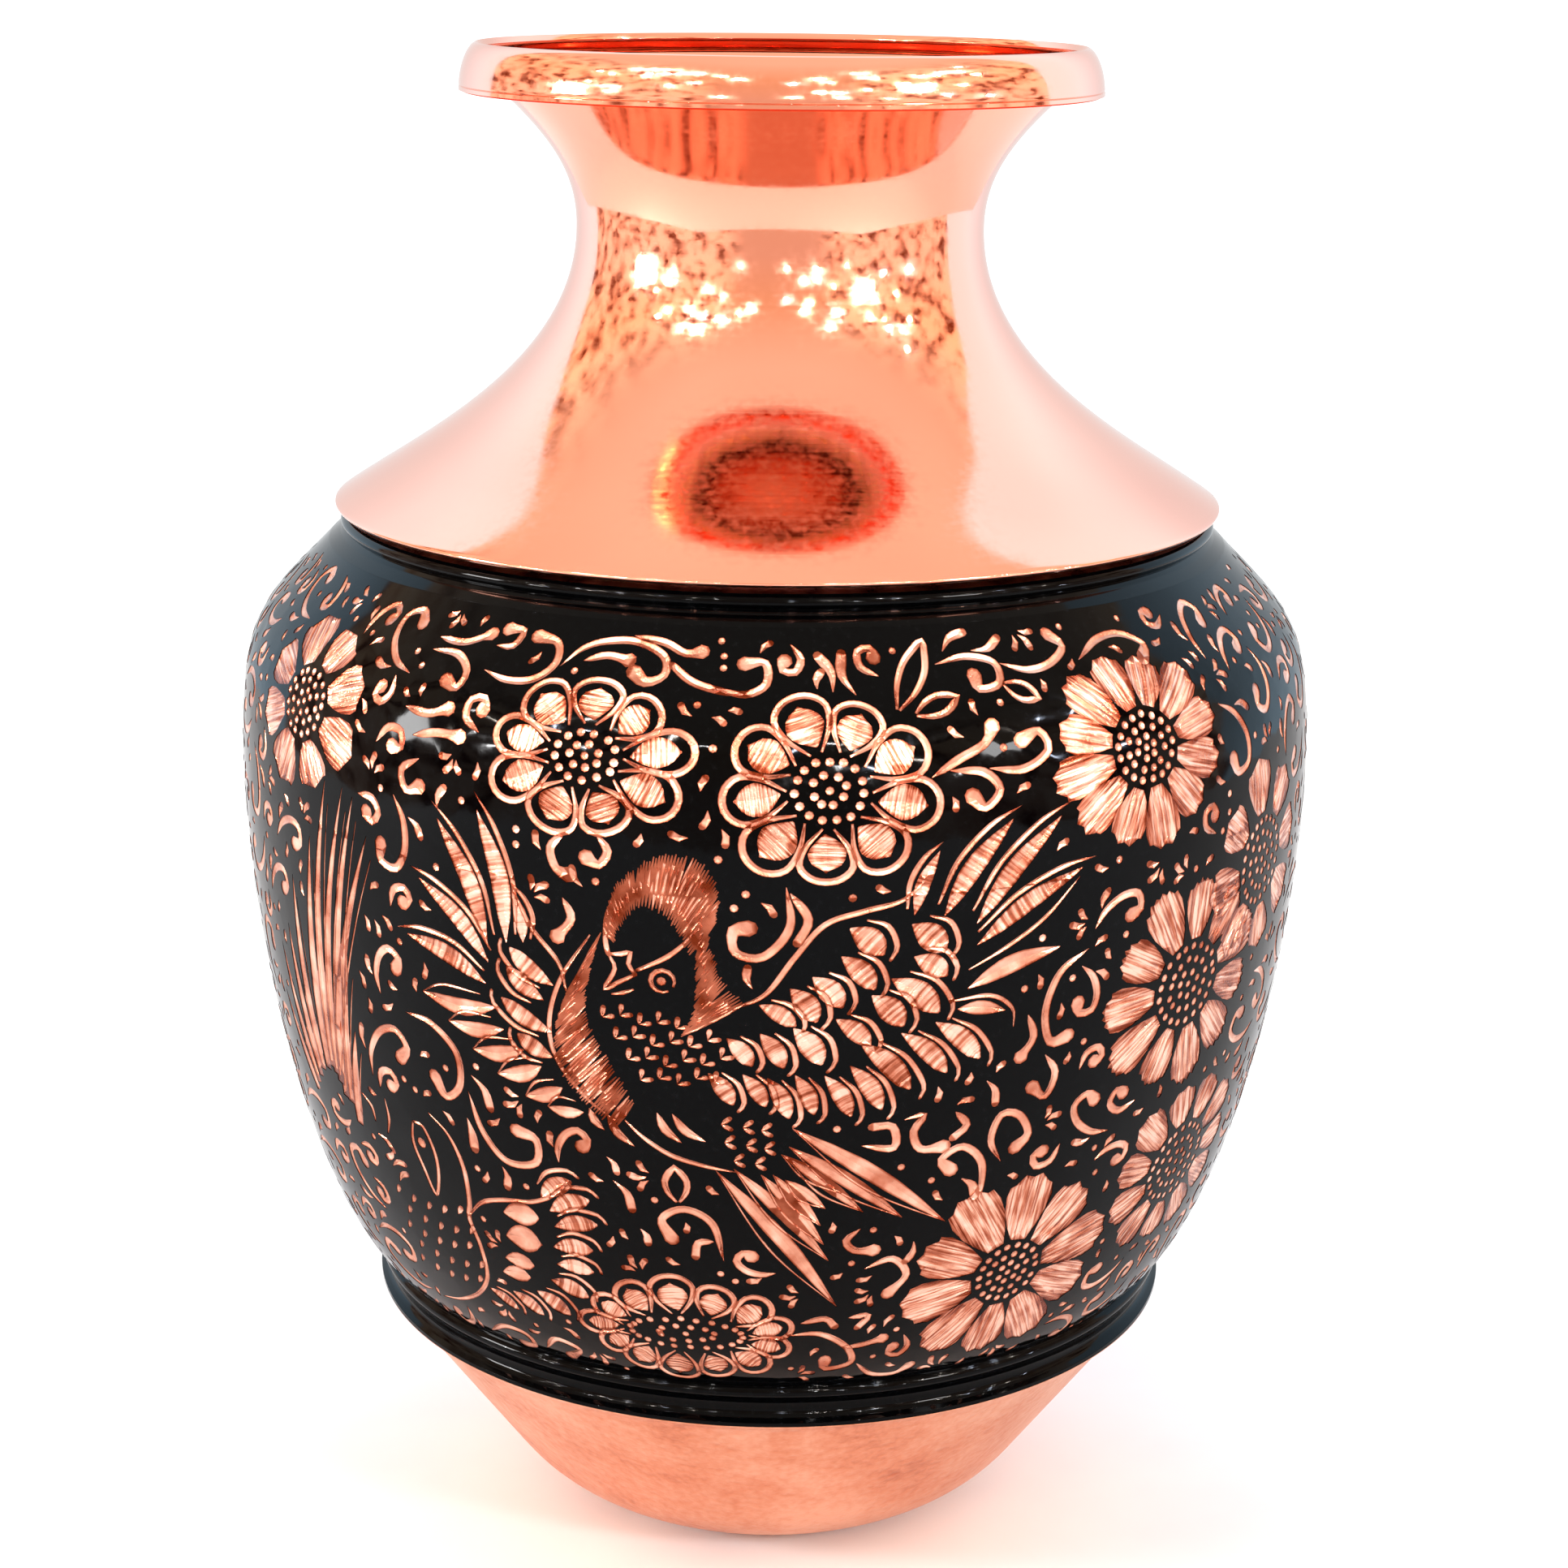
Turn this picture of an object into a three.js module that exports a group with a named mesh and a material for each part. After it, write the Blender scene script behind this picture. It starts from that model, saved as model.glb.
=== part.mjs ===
// Open copper vase: spun copper shells, lapped and hard-soldered, with a black lacquered belly.
// Millimetres, +Z up, origin at the centre of the flat bottom that it stands on.
// Every piece is a body of revolution, drawn as an outline of (radius, height) points.
import * as THREE from "three";

// Sheet, coat and fits
const SHEET = 1.0; // spun copper sheet
const RIM_SHEET = 1.2; // heavier strip of the rim ring
const COAT = 0.4; // black lacquer on the belly
const GAP = 0.3; // clearance left between pieces that touch
const UNDER_COAT = COAT + GAP; // depth of the belly's copper under the lacquered surface
const FACETS = 40; // flats around the axis
const CHORDS = { lip: 5, shoulder: 9, flare: 6, corner: 3, lowerBelly: 7, upperBelly: 6, bead: 3 };

// Base cup: flat bottom, rounded corner, cone, and a narrow brim
const FOOT_RADIUS = 26;
const CUP_HEIGHT = 45.6;
const CUP_RADIUS = 76.8;
const CUP_SLOPE = THREE.MathUtils.degToRad(36); // cone, measured from upright
const CUP_BRIM_STANDS_OUT = 0.9; // brim beyond the line of the cone
const CUP_BRIM_EDGE = 0.8; // upright edge of the brim
const CUP_BRIM_HEIGHT = 2.2; // brim, from the cone to the top

// Belly: from the cup to the shoulder, widest where its two halves meet
const BELLY_RADIUS = 100;
const LOWER_HALF_HEIGHT = 104.4; // from the cup's brim to the seam
const UPPER_HALF_HEIGHT = 46.5; // from the seam to the shoulder edge
const BELLY_BOTTOM_OUT = 0.2; // beyond the cup's brim
const BELLY_BOTTOM_RISE = 7.7; // above the cup's brim
const BELLY_BOTTOM_LEAN = THREE.MathUtils.degToRad(42.5); // from upright
const BELLY_BOTTOM_HANDLE = 21.5;
const BELLY_LOWER_HANDLE = 31.3;
const BELLY_UPPER_HANDLE = 27;
const BELLY_TOP_DROP = 6.1; // below the shoulder edge
const BELLY_TOP_OUT = 1.7; // beyond the shoulder edge
const BELLY_TOP_LEAN = THREE.MathUtils.degToRad(46.5); // from level
const BELLY_TOP_HANDLE = 18.3;

// Rolled bead and cove at each end of the belly
const BEAD_HEIGHT = 2.4;
const BEAD_STANDS_OUT = 1.2; // control point of the bead's curve
const GROOVE = 0.7; // depth of the groove between belly and bead
const COVE_DEPTH = 1.5; // cove under the lower bead, inside the cup's brim

// Neck: from the shoulder edge over the waist to the flared mouth
const SHOULDER_RADIUS = 81.3;
const SHOULDER_LEAN = THREE.MathUtils.degToRad(28); // from level
const SHOULDER_HANDLE = 18.9;
const WAIST_RADIUS = 36.1;
const WAIST_RISE = 50.5; // above the shoulder edge
const WAIST_LOWER_HANDLE = 27.2;
const WAIST_UPPER_HANDLE = 11;
const FLARE_LEAN = THREE.MathUtils.degToRad(45); // from upright
const FLARE_HANDLE = 15.7;

// Rim ring: turned-down lip, soldered over the flared mouth
const CREST_RADIUS = 54.3;
const CREST_RISE = 32; // above the waist
const LIP_OUT = 3.7; // lower edge of the lip, beyond and below the crest
const LIP_DROP = 8.3;
const LIP_BULGE_OUT = 3.1; // control point of the lip's curve
const LIP_BULGE_DROP = 4.6;
const SEAT = 0.72; // share of the lip's face, from its lower edge, where the mouth meets it

// Lap seams and solder
const SHOULDER_LAP = 6;
const LAP_START = 0.25; // share of the lap that the bead takes up
const CUP_LAP = 6;
const SOLDER_LEG = 1.6; // side of a solder fillet
const SOLDER_BAND_WIDTH = 5; // run of solder across the seam of the belly
const SOLDER_BAND = 0.8; // its thickness
const SOLDER_BAND_INSET = 0.4; // clearance to the inside of the belly

// Levels, stacked from the floor
const SEAM_HEIGHT = CUP_HEIGHT + LOWER_HALF_HEIGHT;
const SHOULDER_HEIGHT = SEAM_HEIGHT + UPPER_HALF_HEIGHT;
const WAIST_HEIGHT = SHOULDER_HEIGHT + WAIST_RISE;
const HEIGHT = WAIST_HEIGHT + CREST_RISE;

// ---- Outlines ----

const at = (radius, height) => new THREE.Vector2(radius, height);
const leftOf = (direction) => at(-direction.y, direction.x);
const step = (point, direction, length) => point.clone().addScaledVector(direction, length);

// Directions that rise from level and from upright, inwards or outwards
const fromLevelInwards = (lean) => at(-Math.cos(lean), Math.sin(lean));
const fromUprightOutwards = (lean) => at(Math.sin(lean), Math.cos(lean));
const UP = at(0, 1);

// Moves a line sideways, to the left of its direction, with mitred corners.
function offset(line, distance) {
  return line.map((point, i) => {
    const before = line[Math.max(i - 1, 0)];
    const after = line[Math.min(i + 1, line.length - 1)];
    const arriving = (i > 0 ? point.clone().sub(before) : after.clone().sub(point)).normalize();
    const leaving = (after === point ? point.clone().sub(before) : after.clone().sub(point)).normalize();
    const side = leftOf(arriving.clone().add(leaving).normalize());
    return step(point, side, distance / side.dot(leftOf(arriving)));
  });
}

// Closed section of a wall: up its outer line and back down its inner line.
function section(outer, inner) {
  return [...outer, ...[...inner].reverse(), outer[0].clone()];
}

// Three-sided solder fillet in the corner between two faces, clear of both by the gap.
function filletSection(corner, alongFirst, alongSecond) {
  const sine = Math.abs(alongFirst.cross(alongSecond));
  const root = step(step(corner, alongFirst, GAP / sine), alongSecond, GAP / sine);
  const first = step(root, alongFirst, SOLDER_LEG);
  const second = step(root, alongSecond, SOLDER_LEG);
  const turnsLeft = first.clone().sub(root).cross(second.clone().sub(root)) > 0;
  return turnsLeft ? [root, first, second, root.clone()] : [root, second, first, root.clone()];
}

// Rim ring: outer face from the lip's lower edge up to the crest
const lipEdge = at(CREST_RADIUS + LIP_OUT, HEIGHT - LIP_DROP);
const lipBulge = at(CREST_RADIUS + LIP_BULGE_OUT, HEIGHT - LIP_BULGE_DROP);
const lipFace = new THREE.QuadraticBezierCurve(lipEdge, lipBulge, at(CREST_RADIUS, HEIGHT));
const lipLine = lipFace.getPoints(CHORDS.lip);
const rimSection = section(lipLine, offset(lipLine, RIM_SHEET));

// Neck: the mouth's edge seats against the inside of the rim ring
const seatInwards = leftOf(lipFace.getTangent(SEAT));
const mouthEdge = step(lipFace.getPoint(SEAT), seatInwards, RIM_SHEET + GAP);
const shoulderEdge = at(SHOULDER_RADIUS, SHOULDER_HEIGHT);
const waist = at(WAIST_RADIUS, WAIST_HEIGHT);
const flare = fromUprightOutwards(FLARE_LEAN);
const shoulderCurve = new THREE.CubicBezierCurve(
  shoulderEdge,
  step(shoulderEdge, fromLevelInwards(SHOULDER_LEAN), SHOULDER_HANDLE),
  step(waist, UP, -WAIST_LOWER_HANDLE),
  waist,
);
const flareCurve = new THREE.CubicBezierCurve(
  waist,
  step(waist, UP, WAIST_UPPER_HANDLE),
  step(mouthEdge, flare, -FLARE_HANDLE),
  mouthEdge,
);
const shoulderLine = shoulderCurve.getPoints(CHORDS.shoulder);
const neckLine = [...shoulderLine, ...flareCurve.getPoints(CHORDS.flare).slice(1)];
const neckSection = section(neckLine, offset(neckLine, SHEET));

// Base cup: the cone runs up to the brim, and the corner's arc touches the floor and the cone
const coneUp = fromUprightOutwards(CUP_SLOPE);
const coneTop = at(CUP_RADIUS - CUP_BRIM_STANDS_OUT, CUP_HEIGHT);
const brimStart = step(coneTop, coneUp, -CUP_BRIM_HEIGHT / coneUp.y);
const cornerReach = (brimStart.x - FOOT_RADIUS) * coneUp.y - brimStart.y * coneUp.x;
const cornerRadius = cornerReach / (1 - coneUp.x);
const cupCorner = new THREE.Path().absarc(
  FOOT_RADIUS, cornerRadius, cornerRadius, -Math.PI / 2, -CUP_SLOPE, false,
);
const brim = [brimStart, at(CUP_RADIUS, CUP_HEIGHT - CUP_BRIM_EDGE), at(CUP_RADIUS, CUP_HEIGHT)];
const cupLine = [at(0, 0), ...cupCorner.getPoints(CHORDS.corner), ...brim];
const cupSection = [...cupLine, ...offset(cupLine, SHEET).reverse()];

// Point on the cone, or inside it by a depth, at a distance below the top of the cone
function onCone(below, depth) {
  return step(step(coneTop, coneUp, -below), leftOf(coneUp), depth);
}

// Lacquered surface of the belly, from the cup's brim up to the shoulder edge
const bellyBottom = at(CUP_RADIUS + BELLY_BOTTOM_OUT, CUP_HEIGHT + BELLY_BOTTOM_RISE);
const bellyMiddle = at(BELLY_RADIUS, SEAM_HEIGHT);
const bellyTop = at(SHOULDER_RADIUS + BELLY_TOP_OUT, SHOULDER_HEIGHT - BELLY_TOP_DROP);
const lowerBellyCurve = new THREE.CubicBezierCurve(
  bellyBottom,
  step(bellyBottom, fromUprightOutwards(BELLY_BOTTOM_LEAN), BELLY_BOTTOM_HANDLE),
  step(bellyMiddle, UP, -BELLY_LOWER_HANDLE),
  bellyMiddle,
);
const upperBellyCurve = new THREE.CubicBezierCurve(
  bellyMiddle,
  step(bellyMiddle, UP, BELLY_UPPER_HANDLE),
  step(bellyTop, fromLevelInwards(BELLY_TOP_LEAN), -BELLY_TOP_HANDLE),
  bellyTop,
);

// Bead as one curve that rises from its foot, stands out and comes back in
function beadLine(foot) {
  const top = step(foot, UP, BEAD_HEIGHT);
  const crown = at(foot.x + BEAD_STANDS_OUT, foot.y + BEAD_HEIGHT / 2);
  return new THREE.QuadraticBezierCurve(foot, crown, top).getPoints(CHORDS.bead);
}
const lowerBeadFoot = at(bellyBottom.x - GROOVE, bellyBottom.y - GROOVE - BEAD_HEIGHT);
const upperBeadTop = SHOULDER_HEIGHT - SHEET - GAP;
const upperBeadFoot = at(SHOULDER_RADIUS - SHEET / 2 - GROOVE, upperBeadTop - BEAD_HEIGHT);
const cove = at(CUP_RADIUS - COVE_DEPTH, (lowerBeadFoot.y + CUP_HEIGHT) / 2);
const coatFoot = at(CUP_RADIUS - COVE_DEPTH / 2, CUP_HEIGHT + UNDER_COAT);
const lowerBand = [coatFoot, cove, ...beadLine(lowerBeadFoot)];
const lowerBelly = lowerBellyCurve.getPoints(CHORDS.lowerBelly);
const upperBelly = upperBellyCurve.getPoints(CHORDS.upperBelly);
const upperBand = beadLine(upperBeadFoot);
const coatLine = [...lowerBand, ...lowerBelly, ...upperBelly.slice(1), ...upperBand];
const coatSection = section(coatLine, offset(coatLine, COAT));

// Copper under the coat: its outer line keeps below the lacquer, its lining passes behind the
// bead, and a lap at each end follows the inside of the neighbour's sheet.
const lowerLap = [onCone(CUP_LAP + CUP_BRIM_HEIGHT, SHEET + GAP), onCone(CUP_BRIM_HEIGHT, SHEET + GAP)];
const behindCove = at(cove.x - UNDER_COAT, cove.y);
const behindGroove = at(lowerBeadFoot.x - UNDER_COAT, bellyBottom.y - GROOVE);
const lowerCopper = [...lowerLap, ...offset([cove, ...lowerBand.slice(2), ...lowerBelly], UNDER_COAT)];
const lowerLining = [...lowerLap, behindCove, behindGroove, ...offset(lowerBelly, UNDER_COAT).slice(1)];
const lapShare = SHOULDER_LAP / shoulderCurve.getLength();
const lapShares = [LAP_START, (LAP_START + 1) / 2, 1];
const underShoulder = lapShares.map((share) => shoulderCurve.getPointAt(share * lapShare));
const upperLap = offset(underShoulder, SHEET + GAP);
const behindBead = at(upperBeadFoot.x - UNDER_COAT, upperBeadFoot.y);
const upperCopper = [...offset([...upperBelly, ...upperBand], UNDER_COAT), ...upperLap];
const upperLining = [...offset(upperBelly, UNDER_COAT).slice(0, -1), behindBead, ...upperLap];

// The halves meet at the widest height, half a gap each side.
function endedAt(line, index, height) {
  return line.with(index, at(line.at(index).x, height));
}
const lowerSeam = SEAM_HEIGHT - GAP / 2;
const upperSeam = SEAM_HEIGHT + GAP / 2;
const lowerHalfSection = section(
  endedAt(lowerCopper, -1, lowerSeam),
  endedAt(offset(lowerLining, SHEET), -1, lowerSeam),
);
const upperHalfSection = section(
  endedAt(upperCopper, 0, upperSeam),
  endedAt(offset(upperLining, SHEET), 0, upperSeam),
);

// Solder runs
const bandOutside = BELLY_RADIUS - UNDER_COAT - SHEET - SOLDER_BAND_INSET;
const bandInside = bandOutside - SOLDER_BAND;
const bandBottom = SEAM_HEIGHT - SOLDER_BAND_WIDTH / 2;
const bandTop = SEAM_HEIGHT + SOLDER_BAND_WIDTH / 2;
const bandSection = section(
  [at(bandOutside, bandBottom), at(bandOutside, bandTop)],
  [at(bandInside, bandBottom), at(bandInside, bandTop)],
);
const rimCorner = step(mouthEdge, seatInwards, -GAP);
const rimFillet = filletSection(rimCorner, lipFace.getTangent(SEAT).negate(), flare.clone().negate());
const lapTangent = shoulderCurve.getTangentAt(lapShare);
const shoulderCorner = step(shoulderCurve.getPointAt(lapShare), leftOf(lapTangent), SHEET);
const shoulderFillet = filletSection(shoulderCorner, lapTangent, leftOf(lapTangent));
const lapCorner = onCone(CUP_LAP + CUP_BRIM_HEIGHT, SHEET);
const cupFillet = filletSection(lapCorner, coneUp.clone().negate(), leftOf(coneUp));

// ---- Pieces ----

const polishedCopper = new THREE.MeshStandardMaterial({ color: 0xf2a283, roughness: 0.12, metalness: 1 });
const satinCopper = new THREE.MeshStandardMaterial({ color: 0xef9674, roughness: 0.35, metalness: 1 });
const blackLacquer = new THREE.MeshStandardMaterial({ color: 0x15181a, roughness: 0.1, metalness: 0 });
const hardSolder = new THREE.MeshStandardMaterial({ color: 0xc9a777, roughness: 0.45, metalness: 1 });

const vase = new THREE.Group();

function spin(name, outline, material) {
  const geometry = new THREE.LatheGeometry(outline, FACETS);
  geometry.rotateX(Math.PI / 2);
  const piece = new THREE.Mesh(geometry, material);
  piece.name = name;
  vase.add(piece);
}

spin("rim_ring", rimSection, polishedCopper);
spin("rim_solder", rimFillet, hardSolder);
spin("neck_shell", neckSection, polishedCopper);
spin("shoulder_solder", shoulderFillet, hardSolder);
spin("belly_upper_half", upperHalfSection, satinCopper);
spin("belly_seam_solder", bandSection, hardSolder);
spin("belly_lower_half", lowerHalfSection, satinCopper);
spin("belly_lacquer", coatSection, blackLacquer);
spin("cup_solder", cupFillet, hardSolder);
spin("base_cup", cupSection, satinCopper);

export default vase;
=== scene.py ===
import math
import random

import bpy
import numpy as np
from mathutils import Matrix, Vector
from mathutils.geometry import delaunay_2d_cdt


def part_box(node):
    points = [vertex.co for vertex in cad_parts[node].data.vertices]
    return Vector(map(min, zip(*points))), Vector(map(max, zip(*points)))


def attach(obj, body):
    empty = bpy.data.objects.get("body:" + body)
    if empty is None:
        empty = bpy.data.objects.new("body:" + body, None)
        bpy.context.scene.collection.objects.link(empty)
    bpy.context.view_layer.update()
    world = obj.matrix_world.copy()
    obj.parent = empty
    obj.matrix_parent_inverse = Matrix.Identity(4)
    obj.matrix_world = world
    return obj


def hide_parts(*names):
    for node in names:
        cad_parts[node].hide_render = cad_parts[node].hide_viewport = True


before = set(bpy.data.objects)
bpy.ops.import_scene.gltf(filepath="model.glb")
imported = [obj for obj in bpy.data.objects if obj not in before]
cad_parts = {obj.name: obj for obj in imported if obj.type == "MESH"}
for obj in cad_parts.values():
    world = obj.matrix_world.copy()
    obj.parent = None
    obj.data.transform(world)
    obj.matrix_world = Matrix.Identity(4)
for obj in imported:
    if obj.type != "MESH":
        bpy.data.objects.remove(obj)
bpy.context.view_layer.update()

# ---- Base cup ----
# The tapered foot of the vase, spun from one disc of 1 mm copper with a flat bottom and a narrow
# brim. It was pickled and brushed but never polished, so it is a soft satin with a fine pebbled
# skin. The belly stands in it on a soldered lap.

MM = 0.001
SHEET = 1.0
ROUND_STEPS = 256


def outline_curve(outline, steps):
    """Bezier curve on the XZ plane through every third point of the outline, in mm."""
    bpy.ops.object.select_all(action="DESELECT")
    bpy.ops.curve.primitive_bezier_curve_add()
    curve = bpy.context.object
    curve.data.resolution_u = steps
    line = curve.data.splines[0]
    line.bezier_points.add(len(outline) // 3 - 1)
    padded = [outline[0], *outline, outline[-1]]
    for i, point in enumerate(line.bezier_points):
        before, place, after = padded[3 * i:3 * i + 3]
        point.handle_left_type = "FREE"
        point.handle_right_type = "FREE"
        point.co = (place[0] * MM, 0, place[1] * MM)
        point.handle_left = (before[0] * MM, 0, before[1] * MM)
        point.handle_right = (after[0] * MM, 0, after[1] * MM)
    return curve


def straight(*corners):
    """Handles and ends of the straight runs from corner to corner of an outline."""
    line = []
    for start, end in zip(corners, corners[1:]):
        third = ((end[0] - start[0]) / 3, (end[1] - start[1]) / 3)
        line += [(start[0] + third[0], start[1] + third[1]), (end[0] - third[0], end[1] - third[1]), end]
    return line


def finish_with(piece, kind, **settings):
    """Adds a modifier with its settings and applies it."""
    modifier = piece.modifiers.new(kind, kind)
    for name, value in settings.items():
        setattr(modifier, name, value)
    bpy.ops.object.modifier_apply(modifier=modifier.name)


def spin_sheet(name, outline, wall, edge_round, steps=20):
    """Sheet spun round the vase's axis to an outline, with its wall inside it and its edges eased."""
    piece = outline_curve(outline, steps)
    bpy.ops.object.convert(target="MESH")
    piece = bpy.context.object
    piece.name = name
    piece.data.name = name
    bpy.ops.object.mode_set(mode="EDIT")
    bpy.ops.mesh.select_all(action="SELECT")
    bpy.ops.mesh.spin(steps=ROUND_STEPS, angle=2 * math.pi, center=(0, 0, 0), axis=(0, 0, 1))
    bpy.ops.mesh.select_all(action="SELECT")
    bpy.ops.mesh.remove_doubles(threshold=0.001 * MM)
    bpy.ops.mesh.normals_make_consistent(inside=False)
    bpy.ops.object.mode_set(mode="OBJECT")
    finish_with(piece, "SOLIDIFY", thickness=wall * MM, offset=-1, use_even_offset=True)
    finish_with(piece, "BEVEL", width=edge_round * MM, segments=3, angle_limit=math.radians(40))
    bpy.ops.object.shade_smooth_by_angle(angle=math.radians(35))
    return piece


def linear(code):
    """A colour's sRGB hex code as linear red, green, blue and alpha."""
    parts = [int(code[k:k + 2], 16) / 255 for k in (1, 3, 5)]
    return [c / 12.92 if c <= 0.04045 else ((c + 0.055) / 1.055) ** 2.4 for c in parts] + [1.0]


def node(tree, kind, inputs=None, links=None, **settings):
    """Adds a node with its settings, the values of its inputs and the sockets linked to them."""
    new = tree.nodes.new(kind)
    for name, value in settings.items():
        setattr(new, name, value)
    for socket, value in (inputs or {}).items():
        new.inputs[socket].default_value = value
    for socket, source in (links or {}).items():
        tree.links.new(source, new.inputs[socket])
    return new


def ramp(tree, source, stops):
    """Colour ramp from a grey value, with its stops given as place: colour."""
    new = node(tree, "ShaderNodeValToRGB", links={0: source})
    while len(new.color_ramp.elements) < len(stops):
        new.color_ramp.elements.new(0.5)
    for element, (place, colour) in zip(new.color_ramp.elements, stops.items()):
        element.position = place
        element.color = linear(colour)
    return new.outputs["Color"]


def noise(tree, places, scale, detail=2.0):
    """Noise with this many cells to a unit of its places."""
    return node(tree, "ShaderNodeTexNoise", {"Scale": scale, "Detail": detail}, {"Vector": places}).outputs[0]


def weighed(tree, value, weight, rest):
    """A value times its weight, added to the rest."""
    return node(tree, "ShaderNodeMath", {1: weight}, {0: value, 2: rest}, operation="MULTIPLY_ADD").outputs[0]


def bump(tree, height, strength, distance, under=None):
    """Bump from a height, its distance in mm, on top of another bump if there is one."""
    links = {"Height": height} if under is None else {"Height": height, "Normal": under}
    return node(tree, "ShaderNodeBump", {"Strength": strength, "Distance": distance * MM}, links).outputs[0]


def start_material(name, **values):
    """Material with its shader's own values set; gives it, its tree, shader and object coordinates."""
    material = bpy.data.materials.new(name)
    material.use_nodes = True
    tree = material.node_tree
    shader = tree.nodes["Principled BSDF"]
    for socket, value in values.items():
        shader.inputs[socket.replace("_", " ")].default_value = value
    coordinates = node(tree, "ShaderNodeTexCoord").outputs["Object"]
    return material, tree, shader, coordinates


def give_finish(tree, shader, colour, gloss, least, most, bumps):
    """Links a colour and bumps to a shader, and a roughness that goes from least to most with the gloss."""
    roughness = node(tree, "ShaderNodeMapRange", {"To Min": least, "To Max": most}, {"Value": gloss})
    tree.links.new(colour, shader.inputs["Base Color"])
    tree.links.new(roughness.outputs[0], shader.inputs["Roughness"])
    tree.links.new(bumps, shader.inputs["Normal"])


def dress(piece, material, slot, *nodes):
    """Gives a piece its material and its body, and hides the CAD nodes that it stands for. The slot is not
    used.
    """
    piece.data.materials.clear()
    piece.data.materials.append(material)
    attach(piece, "root")
    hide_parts(*nodes)


CUP_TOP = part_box("base_cup")[1].z / MM
CUP_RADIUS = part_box("base_cup")[1].x / MM
FOOT_RADIUS = 26
HEEL_ROUND = 32.9
CUP_LEAN = math.radians(36)
BRIM_EDGE = 0.8
BRIM_START = (CUP_RADIUS - 2.5, CUP_TOP - 2.2)

heel_turn = math.pi / 2 - CUP_LEAN
heel_handle = 4 / 3 * math.tan(heel_turn / 4) * HEEL_ROUND
heel_end = (FOOT_RADIUS + HEEL_ROUND * math.sin(heel_turn), HEEL_ROUND * (1 - math.cos(heel_turn)))
heel_end_handle = (heel_end[0] - heel_handle * math.cos(heel_turn),
                   heel_end[1] - heel_handle * math.sin(heel_turn))
brim_corner = (CUP_RADIUS, CUP_TOP - BRIM_EDGE)
cup_outline = [(0, 0), *straight((0, 0), (FOOT_RADIUS, 0)),
               (FOOT_RADIUS + heel_handle, 0), heel_end_handle, heel_end,
               *straight(heel_end, BRIM_START, brim_corner, (CUP_RADIUS, CUP_TOP))]
base_cup = spin_sheet("base_cup_spun", cup_outline, SHEET, 0.2)


def satin_copper():
    """Pickled and brushed copper: a soft pink satin, pebbled about 1.5 mm apart, paler and redder in
    patches."""
    material, tree, shader, coordinates = start_material("satin_pickled_copper", Metallic=1.0)
    patches = noise(tree, coordinates, 55.0, 5.0)
    pebbles = noise(tree, coordinates, 620.0, 3.0)
    colour = ramp(tree, weighed(tree, pebbles, 0.45, patches),
                  {0.42: "#B26546", 0.62: "#D08A6A", 0.9: "#DDA88E"})
    give_finish(tree, shader, colour, patches, 0.34, 0.5, bump(tree, pebbles, 0.9, 0.3))
    return material


dress(base_cup, satin_copper(), "satin_copper", "base_cup")


# ---- Belly halves ----
# The belly is two copper shells, each spun over a chuck and hard-soldered together at the widest
# place. Birds and flowers were pushed into it with a graver after it was lacquered, so every cut
# goes through the coat into bright copper with a steep wall and a keel along its middle.

COAT = 0.08
SHARP_EDGE = math.radians(30)
COPPER_DEPTH = 0.1
LINES_APART = 0.5
BELLY_WALL = 1.7
LOWER_BELLY = [(77, 53.3), (91.53, 69.15), (100, 118.7), (100, 150)]
UPPER_BELLY = [(100, 150), (100, 177), (95.6, 177.13), (83, 190.4)]
AROUND = 2 * math.pi * 95
BACK = AROUND / 2


def bezier(corners, t):
    """Places on a curve at shares t of it, and the directions that it runs in there."""
    a, b, c, d = (np.array(p)[None, :] for p in corners)
    t = t[:, None]
    place = a * (1 - t) ** 3 + 3 * b * t * (1 - t) ** 2 + 3 * c * t**2 * (1 - t) + d * t**3
    slope = (b - a) * (1 - t) ** 2 + 2 * (c - b) * t * (1 - t) + (d - c) * t**2
    return place, slope / np.linalg.norm(slope, axis=1)[:, None]


fine = np.linspace(0, 1, 2000)
lower_line, lower_slope = bezier(LOWER_BELLY, fine)
upper_line, upper_slope = bezier(UPPER_BELLY, fine)
belly_line = np.vstack((lower_line, upper_line[1:]))
belly_slope = np.vstack((lower_slope, upper_slope[1:]))
belly_rise = np.concatenate(([0], np.cumsum(np.linalg.norm(np.diff(belly_line, axis=0), axis=1))))
WIDEST = belly_rise[len(fine) - 1]
BELLY_TOP = belly_rise[-1]


def belly_normals(x, rise):
    """Outward directions of the belly at flat places: x round it and rise up it, in mm."""
    out = np.interp(rise, belly_rise, belly_slope[:, 1])
    up = -np.interp(rise, belly_rise, belly_slope[:, 0])
    length = np.hypot(out, up)
    turn = x / AROUND * 2 * math.pi
    return np.column_stack((out * np.sin(turn), -out * np.cos(turn), up)) / length[:, None]


def belly_points(x, rise, depth):
    """Places on the belly, sunk below the lacquer's face, in metres."""
    turn = x / AROUND * 2 * math.pi
    radius = np.interp(rise, belly_rise, belly_line[:, 0])
    height = np.interp(rise, belly_rise, belly_line[:, 1])
    face = np.column_stack((radius * np.sin(turn), -radius * np.cos(turn), height))
    return (face - belly_normals(x, rise) * np.asarray(depth)[:, None]) * MM


# The engraver's cuts, laid out flat. A place is a complex number: x round the belly from the front,
# and up it, in mm. Each cut is its outline, the keels inside it with how deep they go, and the
# direction of the fine lines that the graver left in it, or 0 where it left none.
cuts = []
bare = []
hand = random.Random(11)


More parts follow.
